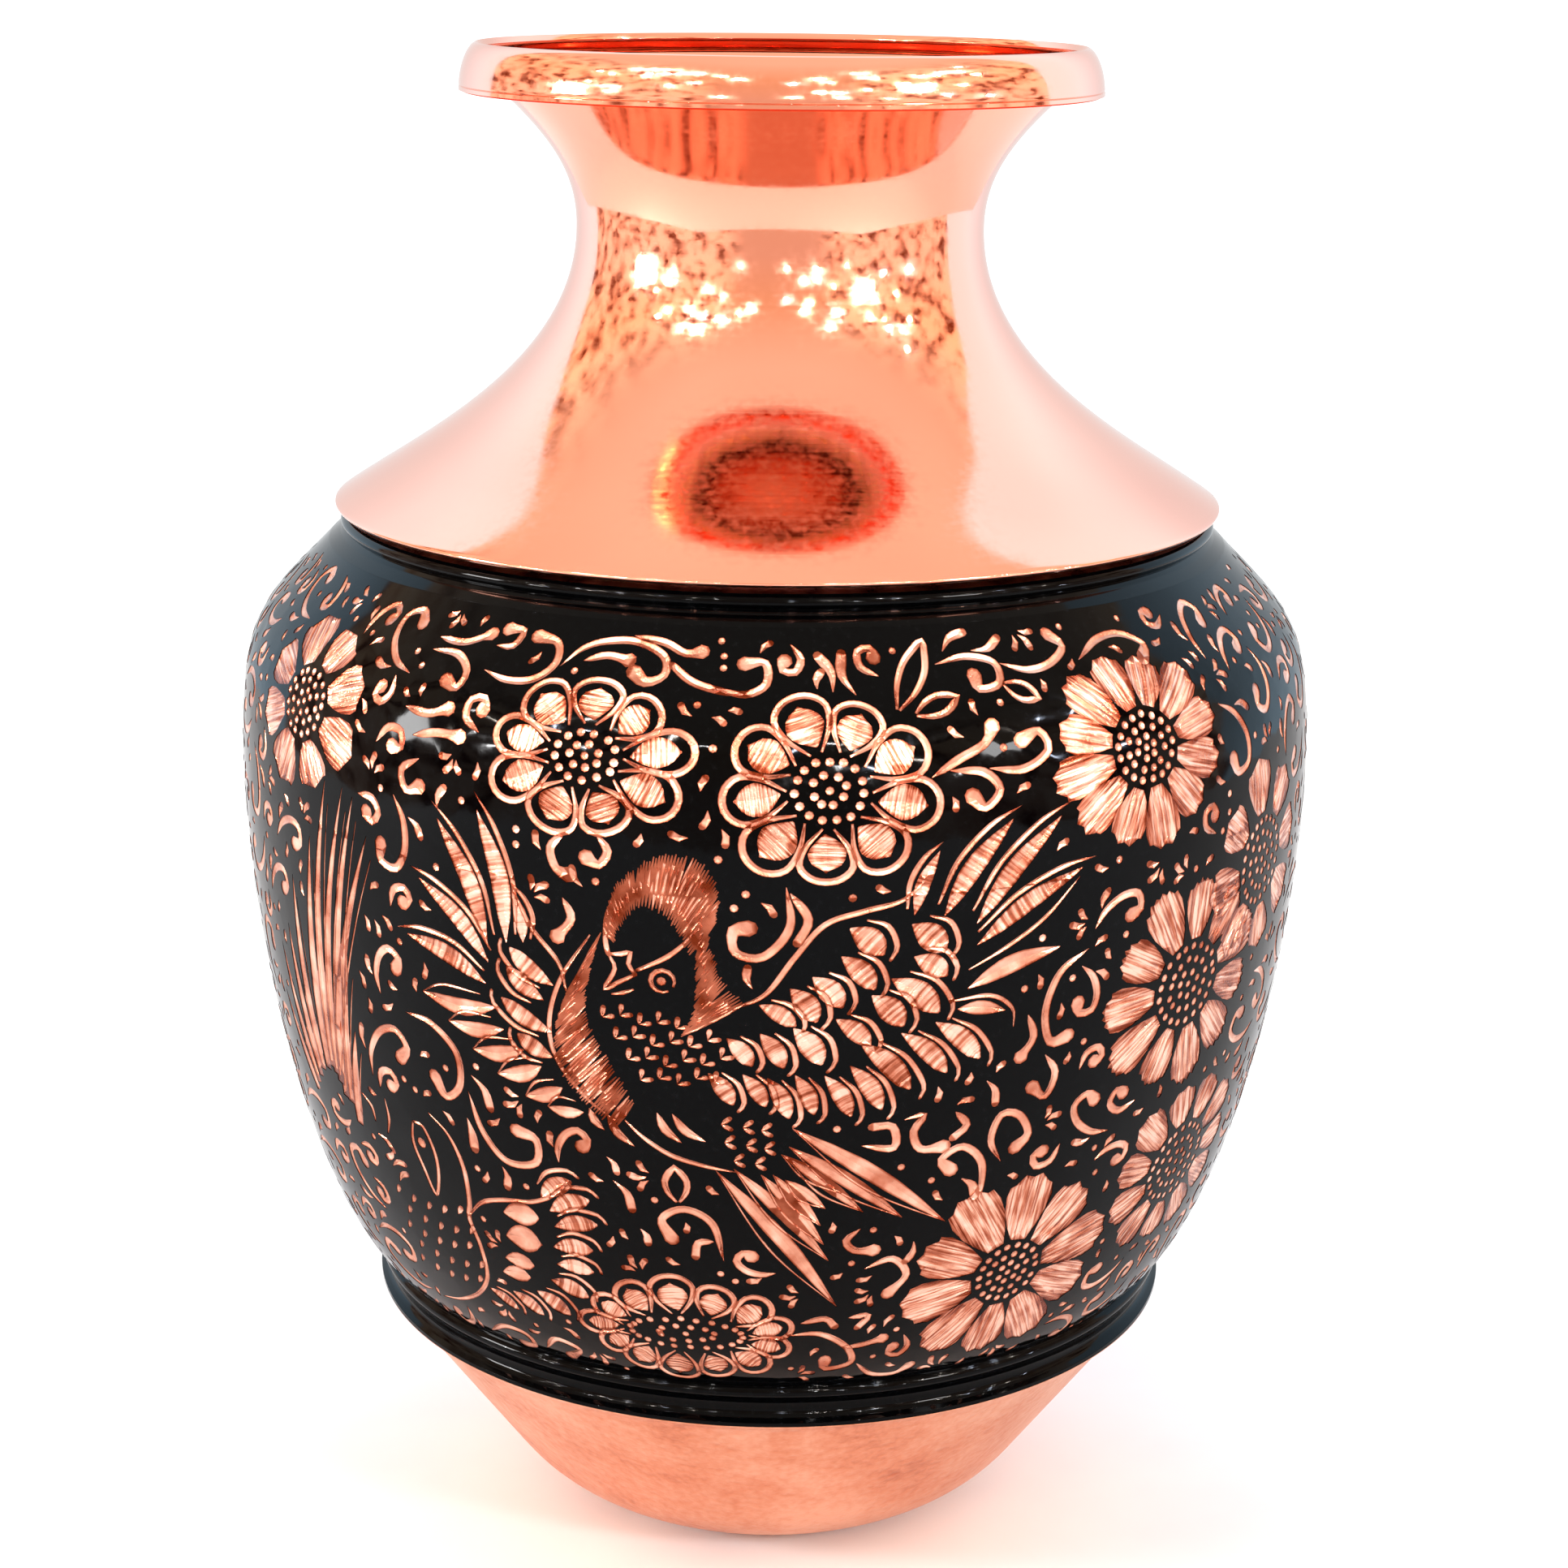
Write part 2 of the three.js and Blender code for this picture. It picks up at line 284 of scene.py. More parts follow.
def curve(knots, step=1.0):
    """Even points on a smooth line through the knots."""
    ends = [2 * knots[0] - knots[1], *knots, 2 * knots[-1] - knots[-2]]
    line = []
    for a, b, c, d in zip(ends, ends[1:], ends[2:], ends[3:]):
        pieces = max(1, round(abs(c - b) / step))
        for i in range(pieces):
            t = i / pieces
            line.append(0.5 * (2 * b + (c - a) * t + (2 * a - 5 * b + 4 * c - d) * t**2
                               + (3 * b - 3 * c + d - a) * t**3))
    return line + [knots[-1]]


def share(values, t):
    """The value a share t of the way along a list of values."""
    place = t * (len(values) - 1)
    k = min(int(place), len(values) - 2)
    return values[k] + (values[k + 1] - values[k]) * (place - k)


def turned(place, degrees):
    return place * complex(math.cos(math.radians(degrees)), math.sin(math.radians(degrees)))


def groove(knots, widths, step=1.0, deep=1.0, grain=0.0):
    """One push of the graver along the knots, as wide as the widths say from start to end."""
    line = curve(knots, step)
    last = len(line) - 1
    left, right = [], []
    for i, point in enumerate(line):
        along = line[min(i + 1, last)] - line[max(i - 1, 0)]
        side = 1j * along / abs(along) * share(widths, i / last) / 2
        left.append(point + side)
        right.append(point - side)
    end = []
    if widths[-1] > 0.5:
        ahead = (line[-1] - line[-2]) / abs(line[-1] - line[-2]) * widths[-1] / 2
        end = [line[-1] + ahead * (0.75 + 0.65j), line[-1] + ahead, line[-1] + ahead * (0.75 - 0.65j)]
    keel = min(0.24, max(widths) * 0.18) * deep
    cuts.append((left + end + right[::-1], [(line[1:-1], keel)], grain))


def push(start, end, width, shape, bend=0.0, step=1.0, grain=0.0):
    """A straight or bowed cut, its width following a shape from start to end."""
    middle = (start + end) / 2 + (end - start) * 1j * bend
    groove([start, middle, end], [width * w for w in shape], step, grain=grain)


DROP = (0.05, 0.5, 0.85, 1, 0.95, 0.75, 0.1)
LENS = (0.05, 0.7, 1, 0.95, 0.6, 0.05)
COMMA = (0.1, 0.45, 0.8, 1, 0.9)
SPIKE = (0.7, 1, 0.9, 0.7, 0.45, 0.05)


def dot(place, radius=0.75):
    ring = [place + turned(radius, 45 * k) for k in range(8)]
    cuts.append((ring, [([place], radius * 0.3)], 0.0))


def scroll(*knots, width=1.5, blob=2.8):
    """Thin start, even middle and a round blob at the end."""
    groove(list(knots), [0.15, width * 0.8, width, width, width, width, blob])


def comma(start, end, width=1.6, bend=0.15):
    push(start, end, width, COMMA, bend)


def leaf(base, tip, width, bend=0.1):
    """Leaf drawn as a loop."""
    axis = tip - base
    side = 1j * axis / abs(axis) * width / 2
    loop = [(0.0, 0.1), (0.3, 0.8), (0.6, 0.95), (0.85, 0.5), (1.0, 0.0)]
    there = [base + axis * a + side * (b + bend) for a, b in loop]
    back = [base + axis * a - side * (b - bend) for a, b in loop[-2::-1]]
    groove(there + back, [0.5, 1.1, 1.3, 1.3, 1.1, 0.5])


def hatched_petal(base, tip, width, lobes=2):
    """Petal hatched all over with close strokes, so that it is bare copper with a ragged tip."""
    axis = tip - base
    side = 1j * axis / abs(axis) * width / 2
    sides = ((0.0, 0.34), (0.22, 0.68), (0.45, 0.94), (0.68, 1.05), (0.85, 0.96))
    left = [base + axis * (a + hand.uniform(-0.02, 0.02)) + side * b for a, b in sides]
    right = [base + axis * (a + hand.uniform(-0.02, 0.02)) - side * b for a, b in sides[::-1]]
    crown = []
    for k in range(2 * lobes + 1):
        across = 0.74 - 1.48 * k / (2 * lobes)
        out = (1.04 if k % 2 else 0.98) - 0.2 * across * across + hand.uniform(-0.02, 0.02)
        crown.append(base + axis * out + side * across)
    ribs = []
    count = max(4, round(width / 1.1))
    for k in range(count):
        across = (2 * (k + 0.5) / count - 1) * 0.86
        start = base + axis * hand.uniform(0.05, 0.2) + side * across * 0.4
        middle = base + axis * 0.5 + side * across * 0.84
        end = base + axis * (hand.uniform(0.84, 0.93) - 0.16 * across * across) + side * across * 0.9
        ribs.append((curve([start, middle, end], 2.5), 0.2 if k % 2 else 0.05))
    cuts.append((left + crown + right, ribs, side / abs(side)))


def outlined_petal(base, tip, width):
    """Petal drawn as a loop, with a bright drop cut inside it."""
    axis = tip - base
    side = 1j * axis / abs(axis) * width / 2
    loop = [(0.0, 0.2), (0.35, 0.8), (0.7, 1.0), (0.93, 0.6), (1.0, 0.0)]
    there = [base + axis * a + side * b for a, b in loop]
    back = [base + axis * a - side * b for a, b in loop[-2::-1]]
    groove(there + back, [0.4, 1.0, 1.2, 1.25, 1.2, 1.0, 0.4])
    grain = 1.2 * axis / abs(axis)
    push(base + axis * 0.1 - side * 0.12, base + axis * 0.8, width * 0.72, DROP, 0.04, grain=grain)


def dotted_heart(centre, across, up, apart=2.1):
    """Flower's middle, filled with punched dots in rings."""
    rings = max(1, round(min(across, up) / apart))
    dot(centre, 0.7)
    for ring in range(1, rings + 1):
        size = ring / rings
        count = max(5, round(math.pi * (across + up) * size / apart))
        for k in range(count):
            angle = 2 * math.pi * (k + 0.37 * ring) / count
            jitter = turned(hand.uniform(0, 0.3), hand.uniform(0, 360))
            dot(centre + jitter + complex(across * size * math.cos(angle), up * size * math.sin(angle)), 0.75)


def daisy(centre, across, up, petals, heart, petal, start=0.0, gap=0.07, heart_up=None, **extra):
    """Ring of petals round a dotted heart; across and up are the half-axes of the flower."""
    heart_up = heart_up or heart * up / across
    dotted_heart(centre, heart, heart_up)
    for k in range(petals):
        angle = math.radians(start) + 2 * math.pi * k / petals
        grown = 1 + 0.05 * math.sin(2.3 * k + start)
        base = centre + complex((heart + 1.3) * math.cos(angle), (heart_up + 1.3) * math.sin(angle))
        tip = centre + complex(across * math.cos(angle), up * math.sin(angle)) * grown
        space = abs(complex(across * math.sin(angle), up * math.cos(angle))) * grown * 2 * math.pi / petals
        petal(base, tip, space * 0.78 * (1 - gap), **extra)


def feather(base, tip, width, bend=0.1):
    """Long feather: a leaf-shaped cut with a fine line beside it that meets its tip."""
    axis = tip - base
    push(base, base + axis * 0.88, width, LENS, bend, grain=0.6 * axis / abs(axis))
    side = 1j * axis / abs(axis) * width * math.copysign(1, bend)
    groove([base + axis * 0.05 + side * 0.6, base + axis * 0.4 + side * (1 + 2 * abs(bend)),
            base + axis * 0.75 + side * 0.8, tip], [0.4, 0.9, 1.0, 0.9, 0.1])


def covert(base, tip, width, side=1):
    """Short round feather: an oval cut with a hook of line round its end."""
    axis = tip - base
    push(base, tip, width * 1.05, DROP, 0.06 * side, grain=0.6 * axis / abs(axis))
    out = 1j * axis / abs(axis) * width * 0.64 * side
    groove([base + axis * 0.15 + out, base + axis * 0.6 + out * 1.5, base + axis * 1.08 + out * 0.9,
            base + axis * 1.2], [0.3, 0.9, 1.0, 0.6])


def hatching(edge, other, spacing=0.6, width=0.75):
    """Band of close strokes running from one line to the other."""
    first, second = curve(edge, 0.5), curve(other, 0.5)
    reach = sum(abs(b - a) for a, b in zip(first, first[1:]))
    count = round(reach / spacing)
    for k in range(count + 1):
        a = first[round(k / count * (len(first) - 1))]
        b = second[round(k / count * (len(second) - 1))]
        grow = (b - a) / abs(b - a) * 0.8
        a, b = a - grow * hand.random(), b + grow * hand.random()
        groove([a, (a + b) / 2, b], [0.2, width, width, 0.2], step=3.0, deep=1.3)


def seeds(places, size=1.0, lean=80):
    """Pairs of small commas, as on a bird's breast."""
    for place in places:
        for turn in (lean, lean - 70):
            push(place, place + turned(size * 1.8, turn), size, COMMA, step=0.6)


def flying_bird():
    """The bird with open wings in the middle of the belly."""
    bare.extend(((-19 + 92j, 6.5), (-17 + 86j, 4), (-22 + 80j, 6.5), (-16 + 78j, 4),
                 (-22 + 70j, 6), (-14 + 66j, 5), (-14 + 59j, 6)))
    # Crest and head
    hatching([-26 + 94j, -24.8 + 100j, -21.5 + 104.4j, -16.5 + 107j, -11.5 + 106.3j, -8.6 + 102j,
              -8.8 + 96.5j],
             [-25 + 92.5j, -23.4 + 96j, -20.6 + 98.8j, -17.4 + 98.4j, -15 + 96j, -13.6 + 93.6j,
              -12.4 + 91.4j], 0.55, 0.8)
    groove([-24.8 + 99.5j, -25.8 + 96j, -26 + 92j, -25.6 + 90j], [0.3, 0.9, 0.9, 0.9])
    groove([-25.6 + 90j, -23.5 + 90.2j, -22 + 90.6j, -22.4 + 88.6j, -21.3 + 86.8j], [0.5, 0.9, 0.8, 0.8, 0.7])
    groove([-25.6 + 90j, -24.6 + 87.5j, -26.4 + 83.8j, -24.4 + 85j, -21.3 + 86.8j], [0.5, 0.8, 0.8, 0.8, 0.6])
    groove([-25.3 + 83j, -23.4 + 83.4j, -21.6 + 84.2j], [0.3, 0.8, 0.3])
    groove([-10.5 + 98j, -12 + 94.5j, -16 + 90.5j, -21 + 87.6j], [0.3, 0.7, 0.9, 0.6])
    groove([-17 + 86j + turned(1.9, k * 30) for k in range(-1, 11)], [0.4, 0.8, 0.9, 0.8, 0.4], 0.8)
    dot(-17.2 + 86j, 0.8)
    # Ruff
    hatching([-30 + 87j, -32.8 + 82j, -35 + 75j, -34.3 + 68j, -30 + 62j, -25.6 + 58.4j],
             [-27 + 93j, -28.8 + 87j, -30 + 79.5j, -28.2 + 73.5j, -25 + 68j, -22.6 + 63j], 0.58, 0.72)
    hatching([-10.4 + 96j, -9.4 + 91j, -7.8 + 86.5j, -4.4 + 82.5j],
             [-11.6 + 93j, -11.6 + 87j, -12 + 81j, -14 + 76.5j], 0.55, 0.72)
    groove([-28.5 + 93j, -33.5 + 85j, -36 + 77j, -35.2 + 70j, -30.5 + 63.4j, -25 + 59.2j],
           [0.3, 0.8, 0.9, 0.8, 0.3])
    # Breast
    for row in range(4):
        first, last = -27 + 2 * row, -9 + row
        seeds([complex(x, 77.5 + 0.12 * abs(x + 17) - 3.4 * row + 0.9 * (k % 2))
               for k, x in enumerate(range(first, last, 3))])
    seeds([-8 + 60.5j, -4.5 + 60j, -1.5 + 59.5j, -7.5 + 57j, -4 + 56.5j, -1 + 56j, -6 + 53.5j, -2.5 + 53j],
          1.0, 40)
    groove([-24 + 60j, -21 + 57j, -16.5 + 54j, -11 + 52.3j, -5.5 + 51.3j], [0.3, 0.9, 1.0, 0.8, 0.2])
    for base, tip in ((-30 + 61.5j, -27.5 + 57.5j), (-27 + 61j, -22.5 + 55j), (-18.5 + 62j, -14.5 + 56.5j),
                      (-16 + 62j, -10.5 + 57j)):
        push(base, tip, 1.7, LENS, -0.12)
    # Left wing
    for base, tip, width in ((-40 + 90j, -42 + 100j, 2.4), (-43 + 89.5j, -48.8 + 114.5j, 3.4),
                             (-46.5 + 88.5j, -57 + 111.5j, 3.4), (-46.5 + 85.5j, -61.5 + 99.5j, 3.2),
                             (-47.2 + 81.5j, -65 + 88j, 3.4)):
        feather(base, tip, width, -0.07)
    for base, tip, width in ((-45.5 + 77.5j, -60.5 + 77.3j, 3.2), (-44.5 + 73.7j, -55.5 + 73j, 3.0),
                             (-41 + 70.6j, -51 + 68.7j, 3.2), (-38 + 68j, -46.5 + 65j, 3.2),
                             (-34.5 + 64.6j, -41.5 + 61.8j, 3.0), (-31 + 60.5j, -37.5 + 60.5j, 2.4)):
        push(base, tip, width, LENS, 0.08)
        groove([base + (tip - base) * 0.2 + 1.9j, base + (tip - base) * 0.7 + 2.2j, tip], [0.2, 0.6, 0.2])
    for base, tip in ((-35 + 83.2j, -42.5 + 88.8j), (-36.8 + 80.3j, -43.2 + 85.3j),
                      (-35.7 + 74.6j, -44.5 + 79.5j), (-35.8 + 70j, -42 + 73.4j)):
        covert(base, tip, 3.2)
    groove([-41.5 + 99j, -38.5 + 93j, -34 + 87.5j, -32.8 + 82.5j], [0.3, 0.9, 0.9, 0.4])
    # Right wing
    groove([-6 + 81.8j, -1 + 84.5j, 3.5 + 91j, 8 + 96.5j, 14 + 98.6j, 20 + 100.2j, 24 + 104j],
           [0.5, 1.0, 1.0, 1.0, 0.3])
    for base, tip, width in ((21.8 + 97.5j, 26.2 + 109.5j, 2.4), (26.6 + 97j, 39.3 + 114.3j, 3.4),
                             (32 + 95.2j, 48.3 + 114j, 3.4), (32.2 + 91.5j, 53 + 104j, 3.2)):
        feather(base, tip, width, 0.05)
    push(31 + 84j, 47 + 89.3j, 3.4, LENS, 0.06)
    groove([31 + 87.3j, 38 + 91j, 44 + 95j, 50 + 101j], [0.3, 0.8, 0.8, 0.2])
    push(29.5 + 80.5j, 37.8 + 79.3j, 2.6, LENS, 0.05)
    groove([28 + 82j, 35 + 82.3j, 39 + 79.5j, 39.5 + 76j], [0.3, 0.8, 0.8, 0.2])
    for base, tip, width in ((11.8 + 95.8j, 17.2 + 91j, 4.2), (10.6 + 91j, 16 + 85j, 3.6),
                             (6.2 + 87.5j, 11 + 82j, 3.8), (2.8 + 85.5j, 7 + 79.5j, 3.8),
                             (-2 + 82.6j, 3.8 + 78.8j, 2.8), (15.5 + 84j, 20.8 + 78.2j, 4.0),
                             (21.5 + 96j, 27 + 90.8j, 4.4), (22 + 90.4j, 27.5 + 86.6j, 3.6),
                             (18.5 + 86.8j, 26.5 + 80.2j, 4.2), (26 + 78.5j, 34 + 71j, 3.4),
                             (10 + 80j, 15.6 + 75j, 3.2), (20.5 + 77j, 28.5 + 69j, 3.2),
                             (14 + 75.5j, 22.5 + 66.5j, 3.6), (-7 + 76.5j, -3 + 71.5j, 3.0),
                             (-1.8 + 77.5j, 2 + 71.2j, 3.2), (3.4 + 78.5j, 8 + 71.8j, 3.8),
                             (-10 + 70j, -6 + 64.2j, 3.0), (-4.5 + 70j, -0.8 + 64j, 2.8),
                             (-0.6 + 69.4j, 3 + 61.8j, 3.0), (3.8 + 70j, 7 + 62.5j, 2.8),
                             (8.5 + 69.8j, 13 + 62j, 3.0), (12.5 + 71.5j, 18 + 63j, 3.2)):
        covert(base, tip, width)
    # Tail
    for base, tip, width in ((-9 + 51.5j, 12.6 + 22.5j, 3.0), (-6 + 52j, 10.5 + 33j, 2.6),
                             (-1.5 + 51j, 9.5 + 36.5j, 2.4), (0.5 + 51j, 8.8 + 40.5j, 2.0),
                             (2.5 + 50j, 9.5 + 44j, 2.0), (3.5 + 60j, 31 + 39.5j, 3.2),
                             (3 + 56.5j, 23 + 41.3j, 2.8), (3 + 54j, 16 + 43j, 2.4),
                             (1.8 + 55j, 12 + 47j, 2.0)):
        push(base, tip, width, LENS, 0.02)
        groove([base, base + (tip - base) * 0.5 - turned(width * 0.75, 40), tip], [0.2, 0.5, 0.2])


def resting_bird():
    """The bird low on the left, with its head down and one wing out."""
    bare.extend(((-68 + 46j, 8), (-64 + 36j, 5), (-68 + 24j, 8.5), (-70 + 14j, 5), (-74 + 30j, 6)))
    groove([-63 + 53.5j, -59 + 50j, -56.8 + 44j, -57 + 37j, -58 + 33j, -56.9 + 27j, -57.6 + 20j, -62 + 14.5j,
            -69 + 10.5j, -76 + 8.5j], [0.3, 1.1, 1.2, 1.1, 1.0, 0.9, 0.3])
    groove([-67.5 + 50.5j, -65 + 50j, -63.2 + 45j, -63.6 + 40j, -65.4 + 36j, -67 + 41j, -68.4 + 46j,
            -67.5 + 50.5j], [0.5, 0.9, 0.9, 0.8, 0.9, 0.9, 0.5])
    dot(-66.2 + 46.5j, 1.1)
    groove([-81.5 + 52j, -79 + 50j, -78.6 + 47j], [0.3, 1.0, 0.4])
    groove([-74.3 + 53j, -74.2 + 49j, -75.5 + 45.5j], [0.3, 0.9, 0.3])
    for start, end in ((-79 + 44.5j, -75 + 42j), (-75 + 42.5j, -77.5 + 40j), (-76.5 + 38.5j, -72.5 + 40j),
                       (-75.5 + 35.5j, -72.5 + 38j)):
        comma(start, end, 1.4)
    for row in range(5):
        for k in range(5):
            place = complex(-77.5 + 4.2 * k + 1.8 * (row % 2), 32.5 - 3.9 * row - 1.1 * k + 0.32 * k * k)
            push(place, place + 1.2 + 1.6j, 1.3, COMMA, step=0.7)
    groove([-58 + 33.6j, -54 + 37.6j, -49 + 39.4j, -43 + 40.4j, -38 + 43j, -35 + 46.5j],
           [0.3, 1.0, 1.0, 0.9, 0.3])
    for base, tip, width in ((-49.5 + 36.6j, -42 + 37.2j, 5.0), (-50 + 31.5j, -42.5 + 31.4j, 6.0),
                             (-51.5 + 26.2j, -45 + 26j, 3.8), (-53 + 22.5j, -46.5 + 23j, 3.6)):
        push(base, tip, width, DROP, 0.05)
    for base, tip, width in ((-41 + 41.8j, -34.5 + 46.3j, 3.6), (-39.5 + 39.2j, -31.5 + 43j, 3.6),
                             (-39 + 36j, -30.5 + 38j, 3.4), (-40 + 31.4j, -32 + 32.2j, 3.6),
                             (-40 + 27.6j, -32.5 + 27.3j, 3.2), (-42 + 23.6j, -34.5 + 21j, 3.8),
                             (-46 + 20j, -39.5 + 15.5j, 3.8), (-52 + 18.3j, -46 + 13.8j, 3.4),
                             (-58 + 17.2j, -52 + 13.5j, 2.8)):
        covert(base, tip, width)


def feather_tuft():
    """The tail that stands over the resting bird."""
    for base, tip, width in ((-84.5 + 44.5j, -79.8 + 64.5j, 2.8), (-86 + 48.5j, -79 + 79j, 2.8),
                             (-87.5 + 49j, -75 + 108.5j, 2.8), (-88.5 + 51.5j, -71.5 + 102.5j, 2.8),
                             (-89.5 + 53j, -77.8 + 109.5j, 2.6), (-90.5 + 54j, -82.8 + 109.8j, 2.8),
                             (-92.5 + 53j, -88 + 98.5j, 3.0), (-95 + 52j, -95.5 + 89.5j, 3.0),
                             (-97 + 50j, -100 + 79j, 3.0), (-99 + 48j, -105 + 74j, 2.8),
                             (-100.5 + 46j, -108 + 64j, 2.8)):
        push(base, tip, width, SPIKE, 0.015, 2.0)
        groove([base + 1.2 + 3j, base + (tip - base) * 0.6 + 1.3, tip + 0.9 - 4j], [0.2, 0.5, 0.2], 2.0)


def front_scrolls():
    """The scrolls, leaves and commas between the flowers and birds."""
    # Border under the bead
    scroll(-38 + 137.3j, -35 + 141j, -31 + 142.8j, -25 + 143.2j, -19.7 + 140.8j, -19 + 137.3j, -22 + 135.8j,
           -24.5 + 137.6j)
    scroll(-34 + 138.8j, -30 + 140.2j, -25.8 + 139.6j)
    scroll(-26 + 144.3j, -20 + 143.4j, -16 + 141.6j, -13 + 142j)
    scroll(-5 + 134.3j, -9 + 134.8j, -14 + 136.3j, -18 + 139.3j, blob=1.2)
    scroll(-52 + 134.8j, -47 + 133.6j, -42 + 134.4j, -39 + 137.8j, -40 + 141.6j, -44.5 + 142.4j)
    scroll(-65 + 139.3j, -59 + 139.2j, -54 + 141.6j)
    scroll(-65 + 136.8j, -59 + 136.8j, -55.4 + 134j, -56 + 130.8j, -58.8 + 131.8j)
    scroll(-52 + 139.6j, -48.6 + 140j, -47.8 + 143j, -51 + 143j)
    scroll(-10 + 135.3j, -5 + 134.3j, -1.5 + 136.3j, -1.8 + 140.2j, -5.4 + 140j)
    comma(13.4 + 134.2j, 11.6 + 142j, 2.0)
    comma(9.6 + 134.8j, 7.4 + 141.6j, 2.0, -0.15)
    comma(7 + 135.4j, 7.8 + 138.6j, 1.6)
    leaf(21 + 130.8j, 27.6 + 143.4j, 4.2, 0.5)
    leaf(23 + 130.2j, 30.6 + 133j, 3.4)
    scroll(28 + 139.3j, 34 + 140.4j, 39 + 138.8j, 38.8 + 135j, 35 + 134.2j, 34.6 + 136.8j)
    comma(30 + 141.6j, 35 + 145j, 1.8)
    comma(35.4 + 141.4j, 41.4 + 143.4j, 1.7, -0.15)
    scroll(40 + 138.6j, 45 + 136.8j, 50 + 137.6j, 54 + 140.4j, 52 + 143j)
    leaf(39.4 + 134.6j, 45 + 131.4j, 3.2)
    scroll(56 + 137.4j, 62 + 140.6j, 68 + 141j, 72.4 + 138.2j, 70.4 + 135.6j)
    # Between the daisies
    scroll(24.5 + 120j, 29 + 122.6j, 33.6 + 124.8j, 35.4 + 127.6j)
    scroll(27.5 + 120.9j, 33 + 120.3j, 35.6 + 117.3j, 33.2 + 114.6j, 31 + 116.6j)
    scroll(34 + 120.8j, 40 + 120.2j, 44.6 + 122.8j, 43.4 + 126j, 40 + 124.8j)
    scroll(-65 + 126j, -60 + 125.6j, -56 + 127j)
    scroll(-62 + 121.6j, -57 + 122.8j, -52.6 + 122.8j)
    scroll(-60 + 118j, -63.6 + 115.6j, -62.4 + 112.4j, -59.6 + 113.4j)
    comma(-55.8 + 110.4j, -54.6 + 114j)
    # Round the flying bird
    scroll(-32.6 + 109.8j, -35 + 107j, -34 + 103.6j, -32 + 102.8j)
    scroll(-27.4 + 110j, -25.6 + 107.4j, -27 + 105j, -29 + 106j)
    scroll(-33 + 98.8j, -31.6 + 95.4j, -34 + 92j)
    comma(-36.6 + 106.4j, -37.6 + 109j, 1.5)
    comma(-29.6 + 101j, -31.4 + 104j, 1.4)
    scroll(2 + 102.8j, 2.6 + 96j, -1.4 + 91j, -5.6 + 91.6j, -6 + 95.2j, -3.6 + 95.8j)
    scroll(2.6 + 101.8j, 5.4 + 97.4j, 3.8 + 93.4j, blob=1.6)
    comma(-3 + 85.4j, -3.8 + 89j, 1.5)
    scroll(42 + 77.8j, 43.4 + 73.6j, 41.4 + 70.2j)
    scroll(52.6 + 88j, 47.4 + 84.6j, 45.2 + 78j, 46.6 + 72.2j, 50 + 72.6j)
    scroll(46 + 69.8j, 48.4 + 66j, 47 + 61.8j, 44.2 + 64j)
    scroll(-65 + 72.3j, -59.4 + 71.6j, -54.6 + 67.2j, -54.6 + 61j, -58 + 58j, -60 + 61.4j)
    scroll(-53 + 60.3j, -51 + 52.8j, -46.8 + 47.9j, -41 + 48.8j, -40.4 + 53.4j, -44 + 54.6j)
    comma(-52 + 63.6j, -48.8 + 57.8j, 1.9)
    comma(-54 + 54.8j, -53.4 + 48.8j, 2.2, 0.05)
    comma(-48 + 46.6j, -47.6 + 42.4j, 1.8)
    scroll(15 + 56.3j, 20.4 + 55.6j, 20 + 59.6j, 16.6 + 59.8j, blob=1.6)
    scroll(21.8 + 60.8j, 25.2 + 61.4j, 23.6 + 58.4j, 25 + 54.9j, 29 + 54.9j)
    scroll(37 + 42.8j, 36.4 + 50.6j, 32.6 + 54.4j, 29 + 52.4j, 30.8 + 50j)
    scroll(40 + 50.3j, 37.6 + 54.8j, 39 + 59.6j, 42.4 + 59j, 44.6 + 55j, 42.4 + 52.6j)
    scroll(30.6 + 61.4j, 32.8 + 58.6j, 30.6 + 56.4j, blob=1.6)
    comma(33 + 48j, 36 + 44j, 2.0)
    comma(35.6 + 66.6j, 37.6 + 62j, 1.6)
    scroll(15.8 + 39.6j, 13.4 + 37.2j, 15 + 35j, 18.4 + 34.8j)
    scroll(17 + 30.8j, 22 + 32.6j, 25 + 28.8j, 22 + 24.8j)
    comma(25.6 + 36j, 24.6 + 31.8j, 1.6)
    # Round the lower daisies
    scroll(-8 + 32.8j, -9.8 + 40.6j, -14.6 + 43.3j, -18.6 + 40.9j, -17 + 36.9j)
    leaf(-15.4 + 44.6j, -15.8 + 51.6j, 4.0)
    comma(-26.8 + 47.8j, -23.8 + 42.2j, 1.8)
    comma(-27.6 + 52.4j, -26 + 49.4j, 1.4)
    scroll(-9.6 + 36.9j, -12.4 + 36.4j, -13 + 33.4j, blob=1.6)
    comma(-22.6 + 38.4j, -21.4 + 35.4j, 1.6)
    scroll(3.5 + 15.6j, 10 + 15.8j, 15.4 + 12j, 16.8 + 7.4j, 12 + 5.8j, 11.4 + 8.6j)
    scroll(6 + 18.6j, 10.6 + 19.6j, 12.6 + 17.6j, blob=1.7)
    scroll(15 + 19.6j, 18.8 + 19.8j, 17 + 17j, blob=1.5)
    scroll(15 + 11.9j, 18.6 + 12.4j, 22.4 + 13.6j)
    scroll(18 + 7j, 22 + 2.8j, 27 + 2j, 30 + 4.4j)
    scroll(-65 + 2.8j, -59 + 6.6j, -53.4 + 6.2j, -52.6 + 3j, -56 + 2.2j)
    scroll(-49.4 + 3.2j, -45.4 + 7.4j, -40.4 + 5.6j, -43.6 + 2.6j)
    comma(-42.4 + 11.6j, -39.6 + 9.6j, 1.5)


